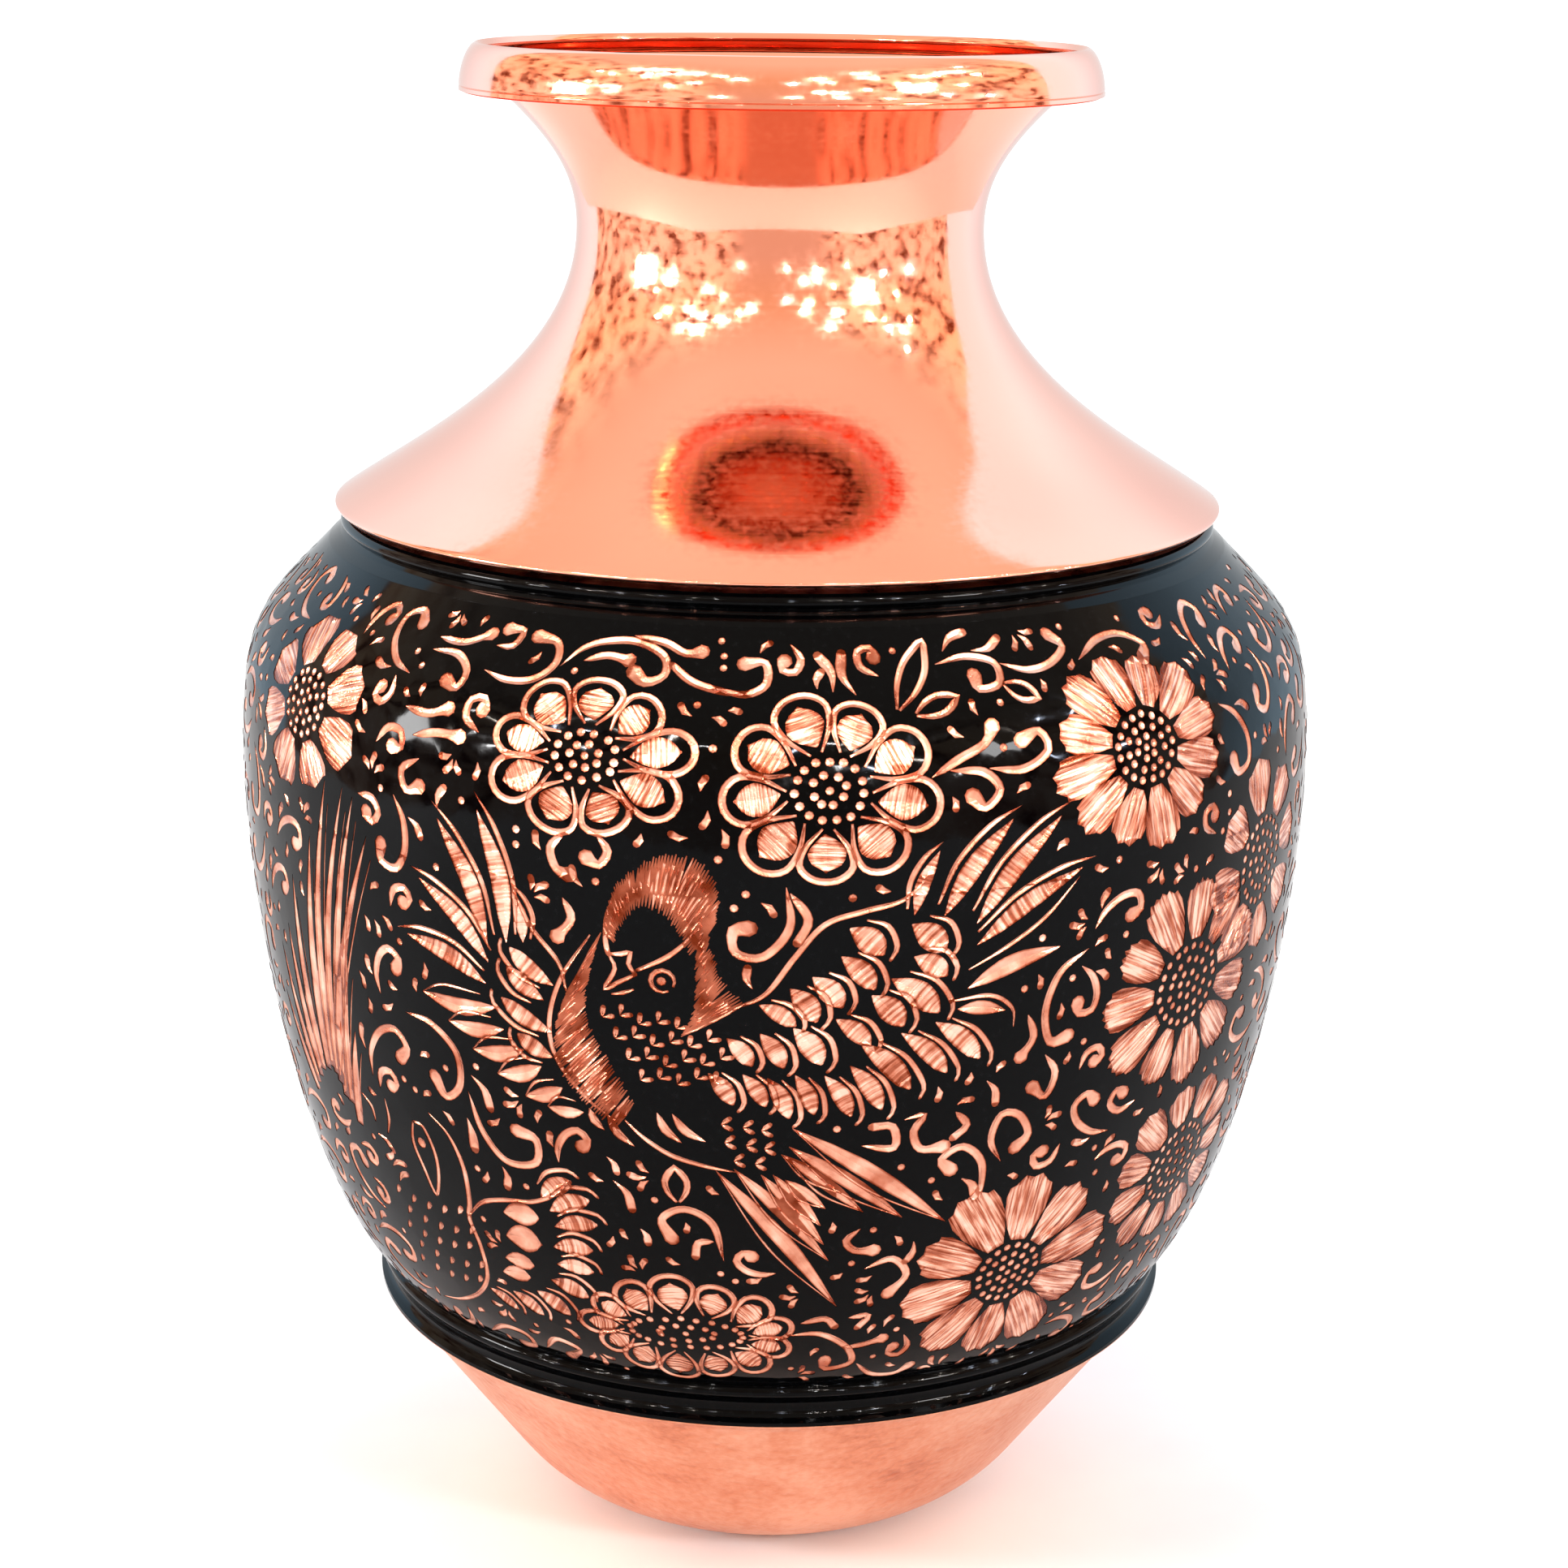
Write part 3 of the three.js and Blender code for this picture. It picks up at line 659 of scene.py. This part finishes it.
def front_of_belly():
    daisy(-30 + 122.5j, 17, 13, 9, 5.0, outlined_petal, 8)
    daisy(8.5 + 118.5j, 17, 15.5, 9, 5.3, outlined_petal, 28)
    daisy(64 + 120.5j, 18.5, 17, 12, 6.0, hatched_petal, 12, 0.02)
    daisy(77 + 76j, 20, 19.5, 11, 7.2, hatched_petal, 20, 0.1, lobes=4)
    daisy(98 + 93.5j, 17, 18, 8, 7.0, hatched_petal, 10, 0.2, lobes=1)
    daisy(46 + 25.5j, 21, 21, 10, 6.0, hatched_petal, 14, 0.1)
    daisy(86 + 38j, 19, 17, 11, 8.0, hatched_petal, 5, 0.05)
    daisy(-16 + 15j, 20.5, 13.2, 13, 11, outlined_petal, 13, -0.02, heart_up=3.6)
    daisy(-92 + 121.5j, 17, 15.5, 8, 6.0, hatched_petal, 22, 0.12, lobes=1)
    flying_bird()
    resting_bird()
    feather_tuft()
    front_scrolls()


def mirrored(place):
    return complex(BACK - place.real, place.imag)


def mirror_to_back():
    """The other face of the vase carries the same scene the other way round."""
    for ring, keels, grain in cuts[:]:
        there = [([mirrored(p) for p in line], deep) for line, deep in keels]
        cuts.append(([mirrored(p) for p in ring], there, -complex(grain).conjugate()))
    bare.extend([(mirrored(centre), size) for centre, size in bare])


def daisies_between():
    """Daisies of both kinds on the two sides of the vase, between its front and its back."""
    for side in (-1, 1):
        for x, rise, size, petals, form in (
                (149, 112, 19, 11, hatched_petal), (149, 66, 21, 12, outlined_petal),
                (149, 22, 19, 10, hatched_petal), (174, 90, 13, 8, outlined_petal),
                (126, 44, 12, 8, outlined_petal)):
            daisy(complex(side * x, rise), size, size, petals, size * 0.32, form, 9 * size)


# Small cuts fill the ground between the flowers wherever there is room. The map of taken ground has
# a cell every half millimetre.
CELL = 0.5
taken = np.zeros((int(AROUND / CELL) + 1, int(BELLY_TOP / CELL) + 1), bool)


def cells(places):
    """Where some places are in the map of taken ground."""
    across = (np.mod(places.real + BACK, AROUND) / CELL).astype(int)
    up = np.clip((places.imag / CELL).astype(int), 0, taken.shape[1] - 1)
    return across, up


def take_ground(places, margin):
    """Marks the ground within a margin of some places."""
    places = np.array(places)
    reach = np.arange(-margin, margin + CELL / 2, CELL)
    steps = (reach[:, None] + 1j * reach[None, :]).ravel()
    taken[cells((places[:, None] + steps[None, :]).ravel())] = True


def fill_ground(tries, sizes, motif, margin):
    """Tries a motif at random places, sizes and turns, and keeps it where the ground is free."""
    for _ in range(tries):
        place = complex(hand.uniform(-BACK, BACK), hand.uniform(1.5, BELLY_TOP - 2.5))
        size = hand.uniform(*sizes)
        spin = hand.uniform(0, 360)
        if taken[cells(np.array([place]))][0]:
            continue
        before = len(cuts)
        motif(lambda point: place + turned(complex(*point) * size, spin))
        ground = np.array([p for ring, _, _ in cuts[before:] for p in ring])
        if taken[cells(ground)].any() or ground.imag.min() < 1 or ground.imag.max() > BELLY_TOP - 1.5:
            del cuts[before:]
            continue
        take_ground(ground, margin)


def spray(at):
    """S-shaped scroll with a leaf and a seed."""
    scroll(at((-1, -0.1)), at((-0.4, 0.15)), at((0.3, 0.1)), at((0.75, -0.25)), at((0.6, -0.7)),
           at((0.2, -0.65)))
    comma(at((-0.5, 0.3)), at((-0.05, 0.62)), 1.6)


def hook(at):
    scroll(at((-0.9, 0)), at((-0.1, 0.5)), at((0.6, 0.2)), at((0.5, -0.4)), at((0.0, -0.3)))


def sprig(at):
    comma(at((0, 0)), at((0.1, 1)), 1.5)
    comma(at((-0.25, -0.1)), at((-0.85, 0.5)), 1.4, -0.15)
    comma(at((0.25, -0.2)), at((0.9, 0.35)), 1.4)


def small_comma(at):
    comma(at((0, 0)), at((1, 0)), 1.4)


def seed(at):
    dot(at((0, 0)), 0.7)


front_of_belly()
mirror_to_back()
daisies_between()
GROUND = 0.8
for ring, keels, _ in cuts:
    take_ground(ring + [p for line, _ in keels for p in line], GROUND)
for centre, size in bare:
    take_ground([centre], size)
fill_ground(12000, (5.5, 8.0), spray, GROUND)
fill_ground(9000, (4.0, 5.5), spray, GROUND)
fill_ground(12000, (3.2, 4.6), hook, GROUND)
fill_ground(12000, (2.4, 3.6), sprig, GROUND)
fill_ground(12000, (1.8, 2.8), small_comma, GROUND)
fill_ground(9000, (1.0, 1.0), seed, GROUND)


def counter_clockwise(ring):
    area = sum((a.conjugate() * b).imag for a, b in zip(ring, ring[1:] + ring[:1]))
    return ring if area > 0 else ring[::-1]


def cut_skin(low, high):
    """Triangles of the belly between two rises, in flat places: their corners, the corners' depths,
    which triangles are cut, and the grain at each corner of them."""
    places, depths, edges, faces, grains = [], [], [], [], []

    def add(points, depth):
        first = len(places)
        places.extend((p.real, p.imag) for p in points)
        depths.extend([depth] * len(points))
        return list(range(first, len(places)))

    across = np.linspace(-BACK, BACK, ROUND_STEPS + 1)
    upward = np.linspace(low, high, round((high - low) / 3) + 1)
    frame_line = ([complex(x, low) for x in across] + [complex(BACK, y) for y in upward[1:-1]]
                  + [complex(x, high) for x in across[::-1]] + [complex(-BACK, y) for y in upward[-2:0:-1]])
    border = add(frame_line, 0)
    edges += zip(border, border[1:] + border[:1])
    ground = np.array([complex(x + 0.9 * (k % 2), y)
                       for k, y in enumerate(upward[1:-1]) for x in across[1:-1]])
    add(list(ground[~taken[cells(ground)]]), 0)
    for ring, keels, grain in cuts:
        heights = [p.imag for p in ring]
        if max(heights) < low or min(heights) > high:
            continue
        wide = [p.real for p in ring]
        for shift in (-AROUND, 0, AROUND):
            if min(wide) + shift > BACK or max(wide) + shift < -BACK:
                continue
            faces.append(add([p + shift for p in counter_clockwise(ring)], 0))
            grains.append(complex(grain))
            for line, deep in keels:
                keel = add([p + shift for p in line], deep)
                edges += zip(keel, keel[1:])
    flat, _, triangles, from_points, _, from_faces = delaunay_2d_cdt(
        [Vector(p) for p in places], list(edges), faces, 0, 1e-5, True)
    flat = np.array([tuple(p) for p in flat])
    depth = np.array([max((depths[k] for k in origin), default=0) for origin in from_points])
    corners = np.array(triangles)
    is_cut = np.array([len(origin) > 0 for origin in from_faces])
    grain = np.array([grains[max(origin)] if origin else 0j for origin in from_faces])
    middle = flat[corners].mean(axis=1)
    inside = (abs(middle[:, 0]) < BACK) & (middle[:, 1] > low) & (middle[:, 1] < high)
    corners, is_cut, grain = corners[inside], is_cut[inside], grain[inside]
    lines = (flat[corners, 0] + 1j * flat[corners, 1]) * grain.conjugate()[:, None]
    # The two sides of the back seam become one
    wrapped = flat.copy()
    wrapped[wrapped[:, 0] > BACK - 1e-4, 0] -= AROUND
    wrapped[:, 0] = np.where(wrapped[:, 0] < -BACK + 1e-4, -BACK, wrapped[:, 0])
    _, keep, merged = np.unique(np.round(wrapped, 3), axis=0, return_index=True, return_inverse=True)
    corners = merged.ravel()[corners]
    used, corners = np.unique(corners, return_inverse=True)
    return wrapped[keep][used], depth[keep][used], corners.reshape(-1, 3), is_cut, lines


def hoop(x, radius, height):
    """Ring of places at one radius and height, at the given flat x, in metres."""
    turn = np.asarray(x) / AROUND * 2 * math.pi
    return np.column_stack((radius * np.sin(turn), -radius * np.cos(turn), np.full(len(turn), height))) * MM


def build_mesh(name, points, triangles):
    mesh = bpy.data.meshes.new(name)
    mesh.from_pydata(points, [], triangles.tolist())
    mesh.update()
    piece = bpy.data.objects.new(name, mesh)
    bpy.context.scene.collection.objects.link(piece)
    return piece


def engraved_shell(name, skin, joined, free, hoops):
    """Closes the engraved skin into a sheet: hoops run from its free border round to its joined one."""
    flat, depth, corners, is_cut, lines = skin
    points = [belly_points(flat[:, 0], flat[:, 1], COPPER_DEPTH + depth)]
    order = {}
    for rise in (free, joined):
        on_it = np.flatnonzero(abs(flat[:, 1] - rise) < 1e-3)
        order[rise] = on_it[np.argsort(flat[on_it, 0])]
    first = order[free]
    x = flat[first, 0]
    rows = [first]
    for radius, height in hoops:
        rows.append(np.arange(len(first)) + sum(map(len, points)))
        points.append(hoop(x, radius, height))
    faces = [corners]
    for below, above in zip(rows, rows[1:]):
        a, b, c, d = below, np.roll(below, -1), np.roll(above, -1), above
        faces += [np.column_stack((a, b, c)), np.column_stack((a, c, d))]
    last, end = rows[-1], order[joined]
    end_x = flat[end, 0]
    i, j = 0, 0
    strip = []
    while i < len(last) or j < len(end):
        next_i = x[i + 1] if i + 1 < len(last) else BACK
        next_j = end_x[j + 1] if j + 1 < len(end) else BACK
        if j >= len(end) or (i < len(last) and next_i <= next_j):
            strip.append((last[i % len(last)], last[(i + 1) % len(last)], end[j % len(end)]))
            i += 1
        else:
            strip.append((last[i % len(last)], end[(j + 1) % len(end)], end[j % len(end)]))
            j += 1
    faces.append(np.array(strip))
    hidden = np.vstack(faces[1:])
    if free < joined:
        hidden = hidden[:, ::-1]
    triangles = np.vstack((corners, hidden))
    piece = build_mesh(name, np.vstack(points), triangles)
    share_cut = piece.data.attributes.new("cut_depth", "FLOAT", "POINT")
    values = np.zeros(len(piece.data.vertices), np.float32)
    values[:len(depth)] = depth
    share_cut.data.foreach_set("value", values)
    grain_map = piece.data.uv_layers.new(name="graver_lines")
    across = np.zeros((len(triangles) * 3, 2), np.float32)
    across[:lines.size] = np.column_stack((lines.real.ravel(), lines.imag.ravel()))
    grain_map.data.foreach_set("uv", across.ravel())
    smooth = np.ones(len(triangles), bool)
    smooth[:len(corners)] = ~is_cut
    piece.data.polygons.foreach_set("use_smooth", smooth)
    return piece


def inner_wall(start, end, rows):
    """Hoops up or down the inside of a belly shell."""
    rises = np.linspace(start, end, rows)
    places = belly_points(np.zeros(rows), rises, np.full(rows, BELLY_WALL)) / MM
    return [(-y, z) for _, y, z in places]


upper_skin = cut_skin(WIDEST, BELLY_TOP)
lower_skin = cut_skin(0, WIDEST)
# Radius and height of each hoop: round the bead, through the lap behind it, and along the inner wall
upper_hoops = [(79.75, 192.8), (80.55, 193.5), (80.55, 194.5), (79.75, 195.1), (74.9, 197.9), (74.4, 196.9),
               (78.6, 194.6), (78.8, 193.2), *inner_wall(BELLY_TOP - 1, WIDEST, 14)]
lower_hoops = [(75.95, 52.7), (76.75, 52.0), (76.75, 50.8), (75.95, 50.1), (75.0, 47.9), (75.2, 46.3),
               (74.1, 45.4), (70.3, 40.1), (69.1, 40.6), (73.6, 46.6), (74.2, 50.2),
               *inner_wall(1, WIDEST, 20)]
engraved_upper = engraved_shell("engraved_upper_half", upper_skin, WIDEST, BELLY_TOP, upper_hoops)
engraved_lower = engraved_shell("engraved_lower_half", lower_skin, WIDEST, 0, lower_hoops)


def engraved_copper():
    """Freshly cut copper: salmon at the keels, red-brown from painted shade at the steep walls, glittering
    with the graver's chatter, and lined every half millimetre where it was hatched, with the lines painted
    darker and lighter as shade and highlight. Painted highlights and shade also lighten and darken it in
    patches."""
    material, tree, shader, coordinates = start_material("fresh_cut_copper", Metallic=1.0)
    depth = node(tree, "ShaderNodeAttribute", attribute_name="cut_depth").outputs["Fac"]
    graver = node(tree, "ShaderNodeUVMap", uv_map="graver_lines").outputs[0]
    drawn_out = node(tree, "ShaderNodeMapping", {"Scale": (1 / LINES_APART, 0.1, 1.0)}, {"Vector": graver})
    lines = noise(tree, drawn_out.outputs[0], 1.0)
    chatter = noise(tree, coordinates, 2200.0)
    patches = noise(tree, coordinates, 170.0, 3.0)
    # Painted shade: the colour turns red-brown where a cut is shallowest, along its steep walls.
    wall = node(tree, "ShaderNodeMapRange", {"From Max": 0.07, "To Min": -0.5, "To Max": 0.0},
                {"Value": depth})
    # Painted shade and highlight: the graver lines darken and lighten the colour, beside their bump.
    hatched = node(tree, "ShaderNodeMapRange",
                   {"From Min": 0.36, "From Max": 0.62, "To Min": -0.35, "To Max": 0.3}, {"Value": lines})
    darkened = node(tree, "ShaderNodeMath", links={0: hatched.outputs[0], 1: wall.outputs[0]},
                    operation="ADD").outputs[0]
    # Painted highlight and shade: patches a few millimetres across lighten and darken the cut copper, as cuts
    # tilted different ways would catch the light; they also vary its roughness.
    colour = ramp(tree, weighed(tree, patches, 1.3, darkened),
                  {0.0: "#6A2813", 0.38: "#B0634A", 0.7: "#DD9F86", 0.92: "#F2C4B0"})
    scored = bump(tree, lines, 0.9, 0.22)
    give_finish(tree, shader, colour, patches, 0.18, 0.42, bump(tree, chatter, 0.9, 0.1, scored))
    return material


cut_copper = engraved_copper()
dress(engraved_upper, cut_copper, "engraved_copper", "belly_upper_half")
dress(engraved_lower, cut_copper, "engraved_copper", "belly_lower_half")


# ---- Black lacquer ----
# A stoved black lacquer about a tenth of a millimetre thick over the belly and its two beads. It
# was flowed on and baked before the engraving, so it is glassy, with a faint orange peel and dust,
# and every cut shows its edge.


def lacquer_coat(name, skin):
    """The coat over the uncut ground, with a face, a back and a wall along every cut."""
    flat, _, corners, is_cut, _ = skin
    ground = corners[~is_cut]
    used, ground = np.unique(ground, return_inverse=True)
    ground = ground.reshape(-1, 3)
    x, rise = flat[used, 0], flat[used, 1]
    count = len(used)
    points = np.vstack((belly_points(x, rise, np.zeros(count)), belly_points(x, rise, np.full(count, COAT))))
    sides = np.vstack((ground[:, [0, 1]], ground[:, [1, 2]], ground[:, [2, 0]]))
    known = set(map(tuple, sides.tolist()))
    open_sides = np.array([s for s in sides.tolist() if (s[1], s[0]) not in known])
    a, b = open_sides[:, 0], open_sides[:, 1]
    walls = np.vstack((np.column_stack((b, a, a + count)), np.column_stack((b, a + count, b + count))))
    triangles = np.vstack((ground, ground[:, ::-1] + count, walls))
    piece = build_mesh(name, points, triangles)
    piece.data.polygons.foreach_set("use_smooth", np.ones(len(triangles), bool))
    piece.data.set_sharp_from_angle(angle=SHARP_EDGE)
    return piece


lacquer_upper = lacquer_coat("lacquer_upper_belly", upper_skin)
lacquer_lower = lacquer_coat("lacquer_lower_belly", lower_skin)


BEAD_HALF = 1.2
BEAD_BULGE = 1.4
COVE = [(75.4, 46.9), (75.2, 47.3), (75.3, 47.9), (75.4, 48.8), (75.7, 49.6)]


def bead(radius, height):
    """Start of a rolled bead's round, and the handles and end of it, from below to above its middle."""
    start = (radius, height - BEAD_HALF)
    bulge = (radius + BEAD_BULGE, height)
    end = (radius, height + BEAD_HALF)
    handles = [tuple(p + (q - p) * 2 / 3 for p, q in zip(side, bulge)) for side in (start, end)]
    return start, [*handles, end]


upper_start, upper_round = bead(80.1, 194.0)
upper_bead_outline = [UPPER_BELLY[-1], *straight(UPPER_BELLY[-1], (80.9, 192.0), upper_start), *upper_round,
                      *straight(upper_round[-1], (79.8, 195.35))]
lower_start, lower_round = bead(76.3, 51.4)
brim_cover = (CUP_RADIUS + COAT, CUP_TOP - 0.6)
brim_turn = (CUP_RADIUS + COAT, CUP_TOP + 0.1)
lower_bead_outline = [brim_cover, *straight(brim_cover, brim_turn, (76.05, 46.3)), *COVE, lower_start,
                      *lower_round, *straight(lower_round[-1], LOWER_BELLY[0])]
upper_bead = spin_sheet("lacquer_upper_bead", upper_bead_outline, COAT, 0.04, 12)
lower_bead = spin_sheet("lacquer_lower_bead", lower_bead_outline, COAT, 0.04, 12)


def black_lacquer():
    """Stoved black lacquer: a glassy blue-black with a faint orange peel every 3 mm and fine dust."""
    material, tree, shader, coordinates = start_material("stoved_black_lacquer", Specular_IOR_Level=0.065)
    peel = noise(tree, coordinates, 330.0)
    dust = noise(tree, coordinates, 900.0)
    colour = ramp(tree, dust, {0.3: "#010102", 0.62: "#020304", 0.8: "#0A0B0E"})
    give_finish(tree, shader, colour, dust, 0.03, 0.1, bump(tree, peel, 0.12, 0.03))
    return material


lacquer = black_lacquer()
for piece in (lacquer_upper, lacquer_lower, upper_bead, lower_bead):
    dress(piece, lacquer, "black_lacquer", "belly_lacquer")


# ---- Neck ----
# Shoulder, waist and flared mouth in one spinning of 1 mm copper, buffed to a mirror. Its lower
# edge caps the belly's upper bead, and the rim ring is closed over its mouth.

SHOULDER = (81.3, 196.5)
WAIST = (36.1, 247)
MOUTH = (54.53, 275.77)
neck_outline = [SHOULDER, (68.2, 205.7), (36.1, 220.6), WAIST, (36.1, 258.8), (43.5, 265.6), MOUTH]
neck = spin_sheet("neck_spun", neck_outline, SHEET, 0.3, 48)


def polished_copper():
    """Buffed copper: a salmon mirror with hair lines from the lathe 0.8 mm apart, faint waves left
    by the spinning roller and fine dust."""
    material, tree, shader, coordinates = start_material("buffed_copper", Metallic=1.0)
    waves = noise(tree, coordinates, 28.0, 1.0)
    rings = node(tree, "ShaderNodeMapping", {"Scale": (4.0, 4.0, 1250.0)}, {"Vector": coordinates})
    hair_lines = noise(tree, rings.outputs[0], 1.0, 3.0)
    dust = noise(tree, coordinates, 700.0)
    colour = ramp(tree, waves, {0.35: "#F0A388", 0.65: "#F5AB90"})
    worn = node(tree, "ShaderNodeMapRange", {"From Min": 0.5, "From Max": 1.1},
                {"Value": weighed(tree, hair_lines, 0.5, dust)})
    lined = bump(tree, hair_lines, 0.06, 0.05, bump(tree, waves, 0.25, 0.5))
    give_finish(tree, shader, colour, worn.outputs[0], 0.04, 0.16, lined)
    return material


mirror_copper = polished_copper()
dress(neck, mirror_copper, "polished_copper", "neck_shell")


# ---- Rim ring ----
# The turned-down lip: a band of copper spun over the mouth's edge, with a sharp crest on top and a
# gap under it all round. It is buffed with the neck.

RIM_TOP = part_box("rim_ring")[1].z / MM
RIM_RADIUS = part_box("rim_ring")[1].x / MM
RIM_SHEET = 1.2
LIP_EDGE = (RIM_RADIUS, 270.7)
LINE_FOOT = (RIM_RADIUS, 271.35)
LINE_ROOT = (57.8, 271.5)
LINE_TOP = (57.95, 271.65)
CREST = (54.9, RIM_TOP)
rim_outline = [LIP_EDGE, *straight(LIP_EDGE, LINE_FOOT, LINE_ROOT, LINE_TOP),
               (57.9, 274.5), (56.6, 278.3), CREST]
rim = spin_sheet("rim_ring_spun", rim_outline, RIM_SHEET, 0.3, 12)
dress(rim, mirror_copper, "polished_copper", "rim_ring")


# ---- Solder ----
# Hard solder run into every lap and along the belly's seam, all of it inside or under the lip. It
# was melted on with a torch and left as it set, so it is a dull, lumpy brass-grey.


def hard_solder():
    """Silver-bearing hard solder: pale yellow-grey, lumpy every 2 mm, and darker in the hollows between the
    lumps.
    """
    material, tree, shader, coordinates = start_material("silver_hard_solder", Metallic=1.0)
    lumps = noise(tree, coordinates, 450.0, 4.0)
    colour = ramp(tree, lumps, {0.3: "#8C7A60", 0.55: "#C9B894", 0.75: "#DCCFB2"})
    give_finish(tree, shader, colour, lumps, 0.3, 0.6, bump(tree, lumps, 0.5, 0.3))
    return material


solder = hard_solder()
for name in ("rim_solder", "shoulder_solder", "belly_seam_solder", "cup_solder"):
    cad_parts[name].data.materials.clear()
    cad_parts[name].data.materials.append(solder)


# ---- Floor, light and camera ----
# A white floor in a white tent that opens towards the camera, so the copper's sides are pale, its
# middle shows the dimmer room in front, and a row of small lamps puts glints on rim, neck and bead.

bpy.ops.object.select_all(action="DESELECT")
bpy.ops.mesh.primitive_plane_add(size=1.7, location=(0, 0, 0))
floor = bpy.context.object
floor.name = "floor"
floor_material, floor_tree, floor_shader, floor_places = start_material("matt_white_floor", Roughness=0.7)
floor_colour = ramp(floor_tree, noise(floor_tree, floor_places, 40.0), {0.3: "#EEF5FC", 0.7: "#F3F9FF"})
floor_tree.links.new(floor_colour, floor_shader.inputs["Base Color"])
floor.data.materials.append(floor_material)

TENT = (1.35, 1.85, 2.25, 1.0)
TENT_BACK = (0.93, 0.95, 0.96, 1.0)
ROOM = (1.3, 1.25, 1.2, 1.0)
WARES_LIGHT = (1.9, 1.9, 1.9, 1.0)
WHITE = (1.0, 1.0, 1.0, 1.0)
BACKDROP = (1.5, 1.5, 1.5, 1.0)


def fade(tree, value, start, end=1.0):
    """From 0 to 1, smoothly, while a value goes from its start to its end."""
    return node(tree, "ShaderNodeMapRange", {"From Min": start, "From Max": end}, {"Value": value},
                interpolation_type="SMOOTHSTEP").outputs[0]


def mix(tree, share_of_second, first, second, blend="MIX"):
    """Mix of two colours. Each of the three is either a value or a socket."""
    new = node(tree, "ShaderNodeMix", data_type="RGBA", blend_type=blend)
    for socket, source in ((0, share_of_second), (6, first), (7, second)):
        if isinstance(source, bpy.types.NodeSocket):
            tree.links.new(source, new.inputs[socket])
        else:
            new.inputs[socket].default_value = source
    return new.outputs[2]


world = bpy.data.worlds.new("white_tent")
bpy.context.scene.world = world
world.use_nodes = True
sky = world.node_tree
direction = node(sky, "ShaderNodeTexCoord").outputs["Generated"]
parts = node(sky, "ShaderNodeSeparateXYZ", links={0: direction})
leaning = weighed(sky, parts.outputs["X"], 0.15, parts.outputs["Y"])
opening = fade(sky, weighed(sky, noise(sky, direction, 3.0), 0.12, leaning), 0.49, 0.51)
sideways = node(sky, "ShaderNodeMath", links={0: parts.outputs["X"]}, operation="ABSOLUTE").outputs[0]
at_sides = fade(sky, sideways, 0.3, 0.55)
low_down = fade(sky, parts.outputs["Z"], 0.85, 0.5)
filled = node(sky, "ShaderNodeMath", links={0: at_sides, 1: low_down}, operation="MULTIPLY").outputs[0]
wares = ramp(sky, noise(sky, direction, 11.0, 5.0), {0.38: "#6A3A24", 0.45: "#D8C4BA", 0.55: "#FFFFFF"})
stock = mix(sky, filled, WHITE, mix(sky, 1.0, wares, WARES_LIGHT, "MULTIPLY"))
height = ramp(sky, parts.outputs["Z"], {0.02: "#E2CCC0", 0.5: "#EACDB0", 0.9: "#FFF4EA"})
room = mix(sky, 1.0, mix(sky, 1.0, height, ROOM, "MULTIPLY"), stock, "MULTIPLY")
tent = mix(sky, fade(sky, parts.outputs["Y"], 0.6), TENT, TENT_BACK)
around = mix(sky, opening, room, tent)
seen = node(sky, "ShaderNodeLightPath").outputs["Is Camera Ray"]
backdrop = mix(sky, seen, around, BACKDROP)
sky.links.new(backdrop, sky.nodes["Background"].inputs["Color"])


VASE_MIDDLE = Vector((0, 0, 0.15))
SHOP_LAMPS = 44


def lamp(name, place, size, watts, colour="#FFFFFF", shape="DISK", lights_floor=True):
    """Area lamp that faces the middle of the vase. One that lights no floor only makes glints."""
    light = bpy.data.lights.new(name, "AREA")
    light.shape = shape
    light.size = size
    light.energy = watts
    light.color = linear(colour)[:3]
    holder = bpy.data.objects.new(name, light)
    holder.location = place
    holder.rotation_euler = (VASE_MIDDLE - Vector(place)).to_track_quat("-Z", "Y").to_euler()
    holder.visible_diffuse = lights_floor
    bpy.context.scene.collection.objects.link(holder)


lamp("left_window", (-1.9, -0.38, 0.55), 0.4, 30, shape="SQUARE")
lamp("right_window", (1.2, -1.1, 0.8), 0.25, 12, shape="SQUARE")
for k in range(SHOP_LAMPS):
    angle = math.radians(hand.uniform(-80, 80))
    far = hand.uniform(1.8, 2.6)
    lamp(f"shop_lamp_{k}", (far * math.sin(angle), -far * math.cos(angle), hand.uniform(0.5, 2.2)),
         hand.uniform(0.015, 0.04), hand.uniform(1, 5), hand.choice(("#FFFFFF", "#FFF4E8", "#DCE8FF")),
         lights_floor=False)

camera_data = bpy.data.cameras.new("camera")
camera_data.lens = 70.12
camera_data.sensor_width = 36
camera_data.shift_x = 0.0062
camera = bpy.data.objects.new("camera", camera_data)
camera_place = Matrix.Translation((0, -0.56345, 0.29945))
camera_tilt = Matrix.Rotation(math.radians(74.29), 4, "X")
camera_roll = Matrix.Rotation(math.radians(0.62), 4, "Z")
camera.matrix_world = camera_place @ camera_tilt @ camera_roll
bpy.context.scene.collection.objects.link(camera)
bpy.context.scene.camera = camera
bpy.context.scene.view_settings.view_transform = "Standard"
